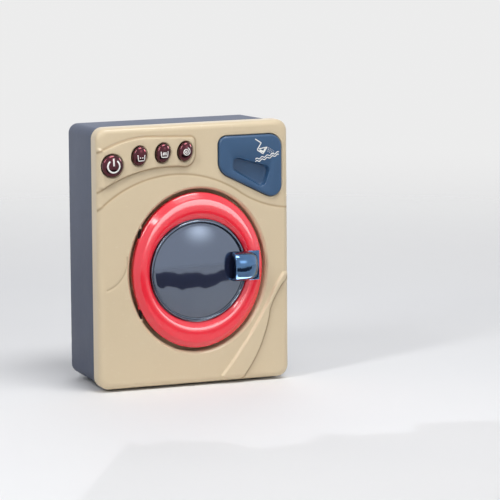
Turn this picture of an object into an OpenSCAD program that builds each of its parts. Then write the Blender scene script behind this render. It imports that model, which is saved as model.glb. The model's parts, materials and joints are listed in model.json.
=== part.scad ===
// Toy front-loading washing machine, battery operated.
// X is to the right, Y to the back and Z up. All sizes are in millimetres.
// A "depth" below is measured backwards from the plane of the cream front face.

/* [Case] */
// Width of the cream front shell
case_w = 158; // [156:1:170]
// Height of the whole machine, standing on its feet
case_h = 205; // [203:1:220]
// Depth of the case from its front face to its back
case_depth = 78; // [77:1:92]
// Depth of the cream front shell
front_depth = 14; // [13:0.5:16]
// Wall of both case shells
wall = 2.2; // [1.8:0.1:2.4]
// Radius of the case's four corners, seen from the front
corner_r = 9; // [8:0.5:12]
// Rounding of the front shell's front edges
edge_r = 5; // [3:0.5:6]
// How far the rear casing is set in from the front shell all round
rear_inset = 1.5; // [0.8:0.1:2]
// How much the rear casing narrows on each side towards its back
rear_taper = 2; // [0:0.25:3]
// How far the panel over the arc line lies behind the panel under it
arc_step = 0.8; // [0.4:0.1:1.2]
// How far the control pod stands out
pod_h = 1.5; // [0.8:0.1:2]
// How far the fold in the lower right corner stands out
fold_h = 1.2; // [0.6:0.1:2]
// Gap that the front shell's lower edge keeps from the surface
skirt_gap = 2; // [1:0.25:3]
// Radius of a rubber foot
foot_r = 6; // [4:0.5:8]

/* [Door] */
// Place of the door's centre to the right of the case's middle
door_x = 3; // [1:0.5:4]
// Height of the door's centre over the surface
door_z = 91; // [89:0.5:93]
// Width of the door
door_w = 107.3; // [105:0.1:108]
// Height of the door
door_h = 121.7; // [119:0.1:122.5]
// Gap between the door and the wall of its recess
door_gap = 3; // [2.6:0.1:3.6]
// Depth of the recess that the door shuts into
recess_depth = 12; // [11.5:0.25:13]
// Width of the rounded rim of the recess
recess_rim = 2; // [1.8:0.1:2.6]
// Width of the door's sloping outer edge
door_bevel = 5; // [4:0.5:6]
// How far the door stands out of the front face
door_proud = 3.2; // [3:0.1:3.6]
// Depth of the door's back edge
door_back = 7; // [6.5:0.25:7.5]
// Wall of the door ring
door_wall = 2; // [1.6:0.1:2.4]
// Radius of the round window
glass_r = 40; // [38:0.25:40.5]
// Wall of the window
glass_t = 1.8; // [1.4:0.1:2.2]
// How far the window's middle stands out in front of its rim
glass_rise = 4.5; // [3:0.5:5.5]
// Distance from the door's centre to the hinge pins
hinge_reach = 47.5; // [47:0.25:48]
// Depth of the hinge pins' axis
hinge_depth = 2.4; // [2.3:0.05:2.6]
// Radius of a hinge pin
hinge_pin_r = 1.2; // [0.9:0.1:1.3]

/* [Door handle] */
// Left edge of the handle, from the door's centre
handle_x0 = 26; // [24:0.5:28]
// Right edge of the handle, from the door's centre
handle_x1 = 50; // [49:0.5:51]
// Height of the handle
handle_h = 23; // [20:0.5:25]
// Height of the handle's middle over the door's centre
handle_z = 2; // [0:0.5:3]
// How far the handle stands out of the front face
handle_proud = 15; // [14:0.5:18]
// Wall of the handle's hollow grip
handle_wall = 1.8; // [1.4:0.1:2.2]
// Distance from the door's centre to the handle's pin
handle_pin_x = 46.4; // [46.2:0.1:46.8]
// Radius of the handle's pin
handle_pin_r = 1.2; // [0.9:0.1:1.3]

/* [Drum] */
// Radius of the drum, outside
drum_r = 44; // [42:0.5:44.5]
// Depth of the drum, front to back
drum_depth = 33; // [28:0.5:34]
// Wall of the drum
drum_wall = 1.8; // [1.4:0.1:2]
// Number of drying ribs in the drum
rib_n = 3; // [2:1:4]
// Number of holes in one ring of the drum's wall
hole_n = 18; // [8:1:24]
// Radius of a drum hole
hole_r = 1.7; // [1:0.1:2.2]
// Radius of the seal that lines the drum's mouth, outside
seal_r = 41.5; // [40.5:0.25:41.75]
// Radius of the clear mouth inside the seal
mouth_r = 35; // [33:0.5:36]
// Radius of the drum's shaft
shaft_r = 2.5; // [2:0.1:3]

/* [Gears] */
// Gear module, the pitch diameter over the number of teeth
gear_m = 1; // [0.96:0.02:1]
// Teeth of the large gear on the drum's shaft
drum_teeth = 60; // [54:1:62]
// Teeth of the idler's small gear, and of the motor's pinion
pinion_teeth = 10; // [9:1:11]
// Teeth of the idler's large gear
idler_teeth = 36; // [32:1:38]
// Width of each gear
gear_t = 4; // [3:0.25:4.5]

/* [Buttons] */
// Radius of the round power button
power_r = 8.6; // [7:0.1:8.8]
// Width of a small oval button
button_w = 11.7; // [9:0.1:12.5]
// Height of a small oval button
button_h = 14.9; // [12:0.1:15.5]
// How far a button's dome stands out of the front face
button_proud = 5.5; // [4:0.25:6.5]
// Travel of a button
button_travel = 1.2; // [0.6:0.1:1.5]
// Lean of the oval buttons, in degrees
button_lean = 8; // [0:1:12]

/* [Drawer] */
// How far the drawer's panel stands out of the front face
drawer_proud = 1.5; // [0.5:0.25:2.5]
// Thickness of the drawer's panel
drawer_panel = 8; // [7.5:0.25:9]
// Depth of the grip pocket in the panel
drawer_grip = 5.5; // [5:0.25:6]
// Length of the tray behind the panel
tray_len = 34; // [26:0.5:36]
// Wall of the tray and of its housing
tray_wall = 1.5; // [1.2:0.1:1.8]

/* [Electrics] */
// Radius of a battery cell
cell_r = 7.1; // [7:0.05:7.25]
// Length of a battery cell
cell_len = 50; // [49:0.25:50.5]
// Number of battery cells
cell_n = 3; // [2:1:3]
// Radius of the loudspeaker
speaker_r = 14; // [10:0.5:16]
// Thickness of the loudspeaker
speaker_t = 5.5; // [4:0.25:6]
// Thickness of the circuit board
board_t = 1.6; // [1:0.1:2]
// Radius of the lamp in the recess
lamp_r = 2.5; // [1.5:0.1:2.5]
// Radius of the motor's can
motor_r = 10.2; // [9:0.1:10.4]
// Length of the motor's can
motor_len = 25; // [20:0.5:28]

/* [Screws and fits] */
// Radius of a case screw's shank
screw_r = 1.3; // [1:0.05:1.4]
// Radius of a case screw's head
screw_head_r = 2.7; // [2.2:0.1:2.8]
// Radius of a small screw's shank
small_screw_r = 1; // [0.8:0.05:1.1]
// Radius of a small screw's head
small_head_r = 2; // [1.8:0.1:2.2]
// Radial clearance of pins, shafts and screws in their holes
fit = 0.05; // [0.03:0.01:0.09]
// Gap round a sliding or lifting part
slack = 0.4; // [0.32:0.02:0.5]

/* [Hidden] */
$fn = 64;

// Overall depth, and the plane of the front face: the whole object is centred front to back
whole_depth = case_depth + handle_proud;
face_y = handle_proud - whole_depth / 2;
eps = 0.01;
face_h = case_h - skirt_gap;
face_mid_z = skirt_gap + face_h / 2;
smooth = 96;

// Depths of the parts behind the face, each worked out from the one before it
floor_back = recess_depth + wall;
seal_lip = 1.5;
seal_back = floor_back + 2.2;
drum_d0 = seal_back + 0.6;
drum_d1 = drum_d0 + drum_depth;
// Lip inside the drum's front, hub round its shaft, and holes in its back
drum_lip = 1.5;
hub_r = 6;
hub_in = 4;
back_hole_n = 12;
hub_end = drum_d1 + 2.8;
bush_flange = 0.8;
plate_d0 = hub_end + slack + bush_flange;
plate_t = 2;
plate_d1 = plate_d0 + plate_t;
gear_gap = 1;
layer_1 = plate_d1 + gear_gap;
layer_2 = layer_1 + gear_t + gear_gap;
cover_d0 = layer_2 + gear_t + gear_gap;
cover_t = 1.6;
rear_inside = case_depth - wall;

// Recess: an oval that runs round the door at door_gap
door_a = door_w / 2;
door_b = door_h / 2;
recess_a = door_a + door_gap;
recess_b = door_b + door_gap;

function oval(a, b, n = smooth) = [for (i = [0:n - 1]) [a * cos(360 * i / n), b * sin(360 * i / n)]];

// Centre of the circle through three points, and an arc from the first through the second to the third
function square_of(p) = p.x * p.x + p.y * p.y;
function centre3(a, b, c) =
  let (d = 2 * (a.x * (b.y - c.y) + b.x * (c.y - a.y) + c.x * (a.y - b.y)))
  [(square_of(a) * (b.y - c.y) + square_of(b) * (c.y - a.y) + square_of(c) * (a.y - b.y)) / d,
   (square_of(a) * (c.x - b.x) + square_of(b) * (a.x - c.x) + square_of(c) * (b.x - a.x)) / d];
function arc3(a, b, c, n = 12) =
  let (m = centre3(a, b, c), r = norm(a - m),
       from = atan2(a.y - m.y, a.x - m.x), to = atan2(c.y - m.y, c.x - m.x),
       left = cross(b - a, c - b) > 0,
       sweep = left ? (to - from + 720) % 360 : -((from - to + 720) % 360))
  [for (i = [0:n]) m + r * [cos(from + sweep * i / n), sin(from + sweep * i / n)]];
function backwards(points) = [for (i = [len(points) - 1:-1:0]) points[i]];

// Outline drawn tight round a ring of circles [x, z, r], each grown by the same amount
function tangent_angle(a, b) =
  let (run = [b.x - a.x, b.y - a.y])
  atan2(run.y, run.x) - acos((a.z - b.z) / norm(run));
function band(circles, grow = 0, n = 8) =
  let (k = len(circles))
  [for (i = [0:k - 1])
     let (c = circles[i],
          from = tangent_angle(circles[(i + k - 1) % k], c),
          to = tangent_angle(c, circles[(i + 1) % k]),
          sweep = (to - from + 720) % 360)
     for (j = [0:n]) [c.x, c.y] + (c.z + grow) * [cos(from + sweep * j / n), sin(from + sweep * j / n)]];

// Edges of the face, from the door's centre, and shapes that are drawn from its upper corners
left_x = -case_w / 2 - door_x;
right_x = case_w / 2 - door_x;
top_z = case_h - door_z;
function shifted(points, x, z) = [for (p = points) [p[0] + x, p[1] + z, each len(p) > 2 ? [p[2]] : []]];
function from_left(points) = shifted(points, left_x, top_z);
function from_right(points) = shifted(points, right_x, top_z);

// Lines of the face. They run past its edges by a little. The arc line runs over the door from side to side
past = 4;
arc_line = concat(arc3([left_x - past, 46.5], [-24.8, 75.7], [33.1, 60.8], 24),
                  arc3([33.1, 60.8], [50.5, 51.1], [right_x + 2 * past, 45]));
above_arc = concat(arc_line, [[right_x + 2 * past, top_z + past], [left_x - past, top_z + past]]);
pod_outline = from_left(concat(arc3([-past, -52.5], [34, -34.8], [71.3, -32.6], 16),
                               arc3([71.3, -32.6], [77.7, -30], [80.3, -23.6], 6),
                               arc3([80.3, -13], [79.1, -10.2], [76.3, -9], 4),
                               arc3([42, -7.6], [16.7, -11.5], [-past, -21])));
fold_outline = concat(arc3([right_x + 2 * past, 6], [67, -10.5], [59.8, -23], 8),
                      arc3([59.8, -23], [45.4, -48], [12, -door_z], 8),
                      backwards(concat(arc3([right_x + 2 * past, -1], [67, -19.5], [59.8, -34.4], 8),
                                       arc3([59.8, -34.4], [54, -57], [33, -door_z], 8))));

// Drawer: corner circles of its panel and of its grip pocket, counterclockwise, and its tray
drawer_corners = from_right([[-14.5, -50.8, 8.5], [-16, -20.7, 10],
                             [-51.7, -17.2, 6.5], [-45.5, -30.5, 12.7]]);
grip_corners = from_right([[-23.2, -46.7, 3.8], [-21, -39, 4.2], [-42.7, -32, 4], [-42.5, -34.5, 4.2]]);
tab_r = 3.2;
tab_post_r = 2.8;
tray_x = [right_x - 46, right_x - 10];
tray_z = [top_z - 42, top_z - 17];
drawer_back = drawer_panel - drawer_proud;
tray_back = drawer_back + tray_len;
collar = 1.6;
housing_front = drawer_back + 2.2;
housing_back = tray_back + 3;
housing_tabs = from_right([[-64.5, -22], [-47, -51.4]]);

// Buttons and the board behind them
power_at = [left_x + 11.7, top_z - 28.5];
small_at = from_left([[33.7, -22], [53, -20.7], [71.3, -20.4]]);
button_flange = 1.3;
button_flange_t = 1.4;
button_flange_d = wall + arc_step + slack;
button_skirt = 0.6;
switch_front = 9.2;
switch_w = 6;
board_d0 = 12.8;
board_x = [left_x + 6.5, left_x + 83];
board_z = [top_z - 39.5, top_z - 13.5];
board_screw_at = from_left([[22.6, -16.5], [43.4, -36.4], [62.4, -36.4]]);
chip_at = [left_x + 25, top_z - 28];
stem_r = 2;
stem_end = switch_front - button_travel - 0.1;
board_post_r = 2.6;
chip_r = 6;

// Lamp in the floor of the recess, under the drum's mouth
lamp_z = -52;
lamp_lead_x = 1.27;

// Hinge: pins on one upright axis at the door's left, each crossing the gap into the recess wall
hinge_x = door_x - hinge_reach;
hinge_ring_z = door_b * sqrt(1 - pow(hinge_reach / door_a, 2));
hinge_wall_z = recess_b * sqrt(1 - pow(hinge_reach / recess_a, 2));
hinge_hold = 9;
hinge_boss_r = hinge_pin_r + 1;

// Handle
handle_pin_d = 1.5;
handle_hood_d = 8.2;
handle_eye_r = handle_pin_r + 1.4;
handle_lift = door_proud + slack;
tail_h = 14;
tail_end = floor_back + 2.4;
spring_z = handle_z + tail_h / 2 + 0.3;
spring_len = 2.4;
tail_x = [handle_pin_x - 1.3, handle_pin_x + 1.3];
pin_hold = 3;
latch_hole_x = [handle_pin_x - 4.6, handle_pin_x + 3.6];

// Window and its retainer. The window's rim stands in front of its flange
glass_rim_d = 1.2;
glass_front = -2.4;
bezel_r = glass_r + slack;
flange_r = glass_r + 3.4;
retainer_d0 = 3.4;
retainer_r = flange_r + 4.6;
retainer_screw_at = [for (a = [55, 125, 235, 305]) 46.3 * [cos(a), sin(a)]];

// Gear train, straight down from the drum's axis
idler_z = door_z - gear_m * (drum_teeth + pinion_teeth) / 2;
motor_z = idler_z - gear_m * (idler_teeth + pinion_teeth) / 2;
idler_pin_r = 1.2;
bush_r = 5;
motor_shaft_r = 1;
motor_flat = 7.6;
post_reach = 40;
post_at = [for (sx = [-1, 1], sz = [-1, 1]) [sx * post_reach, sz * post_reach]];
plate_edge = 6;
motor_plate_w = 40;
motor_plate_z = [-16, 40];
post_r = 3.6;
post_screw_room = 9;
ear_r = 3;
gear_room = 2;
cover_wall = 1.6;
ear_upper = gear_m * drum_teeth / 2 + 5.4;
ear_lower = gear_m * idler_teeth / 2 + 5.8;
cover_ear_at = [for (s = [-1, 1]) each [[s * ear_upper * cos(30), ear_upper * sin(30)],
                                        [s * ear_lower * cos(8), idler_z - door_z - ear_lower * sin(8)]]];

// Case screws
boss_r = 3.4;
case_screw_in = 9.5;
case_screw_z = [skirt_gap + 9, case_h / 2 + case_screw_in, case_h - case_screw_in];
case_screw_at = [for (sx = [-1, 1], z = case_screw_z) [sx * (case_w / 2 - case_screw_in), z]];
screw_seat = front_depth + 9;
screw_len = 17;
head_t = 1.8;

// Rear casing
rear_w = case_w - 2 * rear_inset;
rear_z0 = skirt_gap + rear_inset;
rear_h = case_h - rear_inset - rear_z0;
rear_corner = corner_r - rear_inset;
lip = 3;

// Battery compartment, in the back of the rear casing
bay_z = case_h - 48;
bay_w = cell_len + 8;
bay_h = cell_n * (2 * cell_r + 1) + 2;
bay_depth = 2 * cell_r + 1.6;
bay_cover_t = 2;
bay_d0 = case_depth - bay_cover_t - bay_depth;
bay_ledge = 2.5;
cover_screw_z = bay_z + bay_h / 2 + 5;
cell_d = case_depth - bay_cover_t - 0.6 - cell_r;

// Rubber feet, each with a plug through the floor of the rear casing
foot_plug_r = 2.5;
foot_at = [for (sx = [-1, 1], d = [front_depth + 9, case_depth - 12]) [sx * (case_w / 2 - 22), face_y + d]];

// Loudspeaker
speaker_at = [33 - case_w / 2, 38];
speaker_d1 = rear_inside - slack / 2;
speaker_rim_t = 1.4;
speaker_peg = speaker_r + 3.4;
speaker_strap_t = 1.2;
speaker_post_d = speaker_d1 - speaker_rim_t - fit;

// Small screws: how far their tips reach, and their heads
small_screw_len = 8;
small_head_t = 1.4;
thin_head_t = 1.2;

// Wires: each one's points are [x, depth, z] from the door's centre, chosen to pass round the drum
wire_r = 0.6;
wire_sides = 8;
wire_bend = 5;
motor_wire_a = [[-66, 15, 84], [-66, 22, 76], [-64, 24, -30], [-30, 24, -66], [-6.5, 25.2, -58.4]];
motor_wire_b = [[-68, 15, 84], [-68, 24, 76], [-66, 27, -31], [-31, 27, -68.5],
                [6.5, 25.2, -66], [6.5, 25.2, -58.4]];
battery_wire_a = [[-45, 15, 92], [-50, 30, 92], [-50, 62, 80], [-35.3, 66, 72]];
battery_wire_b = [for (p = battery_wire_a) p - [0, 0, 6]];
speaker_wire = [[-72, 15, 79], [-70, 40, 70], [-63, 60, -30], [-52, 68, -50], [-50.5, 69.3, -53]];
lamp_wire = [[-lamp_lead_x, 22.8, lamp_z], [-20, 22.8, -60], [-55, 21, -36], [-60, 20, 60], [-60, 15, 80]];

// A flat piece drawn in X and Z that fills the depths d0 to d1
module plate(d0, d1) {
  translate([0, face_y + d1, 0]) rotate([90, 0, 0]) linear_extrude(d1 - d0) children();
}

// A turned piece on an axis that runs front to back: its outline is drawn as [radius, depth]
module turned(x, z, points) {
  translate([x, face_y, z]) rotate([-90, 0, 0]) rotate_extrude() polygon(points);
}

module at_door() {
  translate([door_x, 0, door_z]) children();
}

module span(x, z) {
  translate([x[0], z[0]]) square([x[1] - x[0], z[1] - z[0]]);
}

module round_rect(w, h, r) {
  square([w - 2 * r, h], center = true);
  square([w, h - 2 * r], center = true);
  for (sx = [-1, 1], sz = [-1, 1]) translate([sx * (w / 2 - r), sz * (h / 2 - r)]) circle(r);
}

// An upright cylinder at a depth, between two heights
module upright(x, d, z0, z1, r) {
  translate([x, face_y + d, min(z0, z1)]) cylinder(r = r, h = abs(z1 - z0));
}

module screw(x, z, seat, tip, r, head_r, head) {
  turned(x, z, [[0, tip], [r, tip + r / 2], [r, seat], [head_r, seat],
                [head_r * 0.8, seat + head], [0, seat + head]]);
}

// Outer form of the front shell: a slab whose front edges are rounded
module front_form() {
  hull() {
    for (a = [0:15:75])
      plate(edge_r * (1 - cos(a)), edge_r)
        translate([0, face_mid_z])
          round_rect(case_w - 2 * edge_r * (1 - sin(a)), face_h - 2 * edge_r * (1 - sin(a)),
                     corner_r - 0.6 * edge_r * (1 - sin(a)), $fn = 32);
    plate(edge_r, front_depth) translate([0, face_mid_z]) round_rect(case_w, face_h, corner_r, $fn = 32);
  }
}

// A raised part of the face, which keeps the same rounded edges
module raised(h) {
  intersection() {
    translate([0, -h, 0]) front_form();
    at_door() plate(-h, wall) children();
  }
}

module recess_cut() {
  at_door() {
    plate(-2, recess_depth) polygon(oval(recess_a, recess_b));
    hull() {
      plate(-eps, 0) polygon(oval(recess_a + recess_rim, recess_b + recess_rim));
      plate(recess_rim - eps, recess_rim) polygon(oval(recess_a, recess_b));
    }
    plate(-2, 0) polygon(oval(recess_a + recess_rim, recess_b + recess_rim));
    turned(0, 0, [[0, 0], [seal_r - 2, 0], [seal_r - 2, seal_back], [0, seal_back]]);
    plate(recess_depth - eps, floor_back + eps)
      span(latch_hole_x, [handle_z - tail_h / 2 - 1.2, handle_z + tail_h / 2 + 1.2]);
    turned(0, lamp_z, [[0, 0], [lamp_r + fit, 0], [lamp_r + fit, seal_back], [0, seal_back]]);
  }
}

// The small buttons' outline, one per place, grown by a clearance
module small_button_outline(i, grow = 0) {
  translate(small_at[i]) rotate(-button_lean) polygon(oval(button_w / 2 + grow, button_h / 2 + grow, 48));
}

module front_shell() {
  color("wheat") difference() {
    union() {
      difference() {
        front_form();
        at_door() plate(-1, arc_step) polygon(above_arc);
        plate(wall + arc_step, front_depth + 1)
          translate([0, face_mid_z]) round_rect(case_w - 2 * wall, face_h - 2 * wall, corner_r - wall);
      }
      raised(pod_h) polygon(pod_outline);
      raised(fold_h) polygon(fold_outline);
      at_door() {
        plate(wall, floor_back) polygon(oval(recess_a + wall, recess_b + wall));
        plate(wall, drawer_back + collar) polygon(band(drawer_corners, slack + collar));
        for (p = housing_tabs) plate(wall, housing_front) translate(p) circle(tab_post_r);
        for (p = board_screw_at) plate(wall, board_d0) translate(p) circle(board_post_r);
        for (p = post_at) plate(floor_back - wall, plate_d0) translate(p) circle(post_r);
        for (s = [-1, 1])
          intersection() {
            upright(-hinge_reach, hinge_depth, 0, s * (hinge_wall_z + hinge_hold), hinge_boss_r);
            plate(0, recess_depth) square(3 * recess_b, center = true);
          }
      }
      for (p = case_screw_at) plate(wall, front_depth) translate(p) circle(boss_r);
    }
    recess_cut();
    at_door() {
      plate(-pod_h - 1, board_d0 - 1) translate(power_at) circle(power_r + slack);
      for (i = [0:2]) plate(-pod_h - 1, board_d0 - 1) small_button_outline(i, slack);
      plate(-1, drawer_back + collar + 1) polygon(band(drawer_corners, slack));
      for (p = housing_tabs) plate(wall + 1, housing_front + 1) translate(p) circle(small_screw_r + fit);
      for (p = board_screw_at) plate(wall + 1, board_d0 + 1) translate(p) circle(small_screw_r + fit);
      for (p = post_at)
        plate(plate_d0 - post_screw_room, plate_d0 + 1) translate(p) circle(small_screw_r + fit);
      for (s = [-1, 1])
        upright(-hinge_reach, hinge_depth, s * (hinge_wall_z - 6), s * (hinge_wall_z + hinge_hold - 1.5),
                hinge_pin_r + fit);
    }
    for (p = case_screw_at) plate(wall + 2, front_depth + 1) translate(p) circle(screw_r + fit);
  }
}

// One slice of the rear casing: it narrows towards its back at the sides and at the top
module rear_slice(d0, d1, share, inset) {
  plate(d0, d1)
    translate([0, rear_z0 + (rear_h - rear_taper * share) / 2])
      round_rect(rear_w - 2 * rear_taper * share - 2 * inset, rear_h - rear_taper * share - 2 * inset,
                 rear_corner - inset, $fn = 32);
}

module rear_form(inset, front, back, round_back) {
  hull() {
    rear_slice(front, front + eps, 0, inset);
    rear_slice(back - round_back, back - round_back + eps, 1, inset);
    rear_slice(back - eps, back, 1, inset + round_back * 0.8);
  }
}

module rear_shell() {
  color("midnightblue") difference() {
    union() {
      difference() {
        rear_form(0, front_depth, case_depth, 3);
        rear_form(wall, front_depth - 1, rear_inside, 1.5);
      }
      difference() {
        rear_slice(front_depth - lip, front_depth + lip, 0, wall - rear_inset + slack / 2);
        rear_slice(front_depth - lip - 1, front_depth + lip + 1, 0, 2 * wall - rear_inset + slack / 2);
      }
      for (p = case_screw_at) plate(front_depth, case_depth - 1) translate(p) circle(boss_r + 0.4);
      plate(bay_d0 - wall, case_depth - 1)
        translate([0, bay_z]) square([bay_w + 2 * wall, bay_h + 2 * wall], center = true);
      plate(case_depth - bay_cover_t - wall - slack, case_depth - 1)
        translate([0, bay_z]) square([bay_w, bay_h] + 2 * (bay_ledge + wall) * [1, 1], center = true);
      plate(case_depth - 12, case_depth - 1) translate([0, cover_screw_z]) circle(boss_r);
      for (side = [-1, 1]) speaker_post(side);
    }
    for (p = case_screw_at) {
      plate(front_depth - 1, case_depth + 1) translate(p) circle(screw_r + 4 * fit);
      plate(screw_seat, case_depth + 1) translate(p) circle(screw_head_r + 4 * fit);
      plate(front_depth - lip - 1, front_depth + eps) translate(p) circle(boss_r + slack);
    }
    plate(bay_d0, case_depth + 1) translate([0, bay_z]) square([bay_w, bay_h], center = true);
    battery_lid(slack / 2, case_depth + 1);
    plate(case_depth - 11, case_depth + 1) translate([0, cover_screw_z]) circle(small_screw_r + fit);
    for (x = [-3:3])
      plate(rear_inside - 1, case_depth + 1)
        translate(speaker_at + [x * speaker_r / 5, 0])
          square([1.4, 2 * sqrt(pow(speaker_r - 3, 2) - pow(x * speaker_r / 5, 2))], center = true);
    for (p = foot_at) translate([p.x, p.y, rear_z0 - 1]) cylinder(r = foot_plug_r + fit, h = wall + 2);
  }
}

module case_screws() {
  color("silver") for (p = case_screw_at)
    screw(p.x, p.y, screw_seat, screw_seat - screw_len + head_t, screw_r, screw_head_r, head_t);
}

module feet() {
  color("dimgray") for (p = foot_at) translate([p.x, p.y, 0]) rotate_extrude()
    polygon([[0, 0], [foot_r - 0.8, 0], [foot_r, 0.8], [foot_r, rear_z0], [foot_plug_r, rear_z0],
             [foot_plug_r, rear_z0 + wall], [foot_plug_r + 0.6, rear_z0 + wall + 0.2],
             [foot_plug_r - 0.5, rear_z0 + wall + 2], [0, rear_z0 + wall + 2]]);
}

// Outer form of the door: upright oval with a sloping edge and a raised face
module door_form() {
  hull() {
    plate(0.6, door_back) polygon(oval(door_a, door_b));
    plate(-door_proud + 0.4, 0) polygon(oval(door_a - door_bevel, door_b - door_bevel));
    plate(-door_proud, 0) polygon(oval(door_a - door_bevel - 3.5, door_b - door_bevel - 4.5));
  }
}

module door_ring() {
  color("crimson") at_door() difference() {
    union() {
      difference() {
        door_form();
        plate(-door_proud + door_wall + 2, door_back + 1) difference() {
          polygon(oval(door_a - door_wall, door_b - door_wall));
          circle(flange_r + door_wall, $fn = smooth);
        }
      }
      intersection() {
        door_form();
        union() {
          for (s = [-1, 1])
            upright(-hinge_reach, hinge_depth, s * (hinge_ring_z - hinge_hold), s * (hinge_ring_z + 4),
                    hinge_pin_r + 1.4);
          for (p = retainer_screw_at) plate(-1, retainer_d0) translate(p) circle(small_screw_r + 1.5);
          plate(-1, door_back)
            span([glass_r, handle_x1 + 0.5], [handle_z - tail_h / 2 - 4, spring_z + spring_len + 4]);
        }
      }
    }
    turned(0, 0, [[0, -20], [glass_r + 6, -20], [glass_r + 3.2, -door_proud + 0.3], [bezel_r, -0.6],
                  [bezel_r, glass_rim_d], [flange_r + fit, glass_rim_d], [flange_r + fit, door_back + 1],
                  [0, door_back + 1]]);
    for (p = retainer_screw_at) {
      plate(-0.6, door_back + 1) translate(p) circle(small_screw_r + fit);
      plate(retainer_d0, door_back + 1) translate(p) circle(small_head_r + 1.2 + fit);
    }
    for (s = [-1, 1])
      upright(-hinge_reach, hinge_depth, s * (hinge_ring_z - hinge_hold + 1.5), s * (hinge_ring_z + 5),
              hinge_pin_r + fit);
    plate(-door_proud - 1, door_back + 1)
      span([flange_r + 0.2, handle_x1 - 0.6], [handle_z - tail_h / 2 - slack, spring_z + spring_len + slack]);
    upright(handle_pin_x, handle_pin_d, handle_z - tail_h / 2 - pin_hold, spring_z + spring_len + pin_hold,
            handle_pin_r + fit);
  }
}

// Window: a shallow dome with a stepped rim and a flange that the retainer holds
module door_window() {
  dome = arc3([glass_r - 2.6, glass_front + 0.8], [glass_r * 0.6, glass_front - glass_rise * 0.62],
              [0, glass_front - glass_rise]);
  color("slategray", 0.5) at_door() turned(0, 0, concat(
    [[0, glass_front - glass_rise + glass_t]],
    backwards([for (p = dome) if (p.x > 1) p + [0, glass_t]]),
    [[glass_r - 2.6 - eps, 1.6], [glass_r - 2.6, retainer_d0 - eps], [flange_r, retainer_d0 - eps],
     [flange_r, glass_rim_d + eps], [glass_r, glass_rim_d + eps], [glass_r, glass_front + 0.6],
     [glass_r - 0.6, glass_front], [glass_r - 1.8, glass_front]],
    dome));
}

module window_retainer() {
  color("dimgray") at_door() difference() {
    union() {
      turned(0, 0, [[glass_r - 4, retainer_d0], [flange_r - 0.3, retainer_d0],
                    [flange_r - 0.3, door_back + 1.6], [glass_r - 3, door_back + 1.6]]);
      intersection() {
        turned(0, 0, [[flange_r - 1, retainer_d0], [retainer_r, retainer_d0], [retainer_r, retainer_d0 + 1.6],
                      [flange_r - 1, retainer_d0 + 1.6]]);
        union() for (p = retainer_screw_at) plate(0, door_back) translate(p) circle(small_head_r + 1.2);
      }
    }
    for (p = retainer_screw_at) plate(0, door_back + 2) translate(p) circle(small_screw_r + 2 * fit);
  }
}

module retainer_screws() {
  color("silver") at_door() for (p = retainer_screw_at)
    screw(p.x, p.y, retainer_d0 + 1.6, -0.4, small_screw_r, small_head_r, 1.2);
}

module hinge_pins() {
  color("silver") at_door() for (s = [-1, 1])
    upright(-hinge_reach, hinge_depth, s * (hinge_ring_z - hinge_hold + 1.8),
            s * (hinge_wall_z + hinge_hold - 1.8), hinge_pin_r);
}

// Handle: a hood for the fingers, open on its left, on a plate that carries the latch tail
module handle_hood() {
  half = handle_h / 2;
  hull() {
    plate(-handle_lift - 2, -handle_lift) span([handle_x1 - 7, handle_x1], [-half, half]);
    plate(-handle_proud, -handle_lift - 6) span([handle_x0 + 3, handle_x1 - 9], [3 - half, half - 3]);
    plate(-handle_proud + 4, -handle_hood_d) span([handle_x0, handle_x1 - 5], [-half, half]);
  }
}

module door_handle() {
  room = handle_h / 2 - handle_wall;
  color("steelblue") at_door() translate([0, 0, handle_z]) difference() {
    union() {
      handle_hood();
      plate(-handle_lift - 1, tail_end) span(tail_x, [-tail_h / 2, tail_h / 2]);
      plate(tail_end - 2, tail_end) span([tail_x[0], tail_x[1] + 0.8], [-tail_h / 2, tail_h / 2]);
      upright(handle_pin_x, handle_pin_d, -tail_h / 2, tail_h / 2, handle_eye_r);
    }
    plate(-handle_proud + handle_wall, -1) span([handle_x0 - 1, handle_x1 - 9.5], [-room, room]);
    upright(handle_pin_x, handle_pin_d, -tail_h, tail_h, handle_pin_r + fit);
  }
}

module handle_pin() {
  color("silver") at_door()
    upright(handle_pin_x, handle_pin_d, handle_z - tail_h / 2 - pin_hold + 0.2,
            spring_z + spring_len + pin_hold - 0.2, handle_pin_r);
}

// Torsion spring round the handle's pin, drawn as the coil's closed outer shape with one leg
module handle_spring() {
  color("silver") at_door() difference() {
    union() {
      upright(handle_pin_x, handle_pin_d, spring_z, spring_z + spring_len, handle_pin_r + 1.1);
      translate([0, 0, spring_z]) plate(handle_pin_d, door_back - 0.5)
        span([handle_pin_x + handle_pin_r + 0.5, handle_pin_x + handle_pin_r + 1.1], [0, 0.6]);
    }
    upright(handle_pin_x, handle_pin_d, spring_z - 1, spring_z + spring_len + 1, handle_pin_r + fit);
  }
}

module drum_seal() {
  color("black") at_door() turned(0, 0, [
    [mouth_r, recess_depth - seal_lip + 0.6], [mouth_r + 0.6, recess_depth - seal_lip],
    [seal_r - 0.8, recess_depth - seal_lip], [seal_r, recess_depth - seal_lip + 0.8], [seal_r, recess_depth],
    [seal_r - 2 - fit, recess_depth], [seal_r - 2 - fit, seal_back], [mouth_r, seal_back]]);
}

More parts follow.
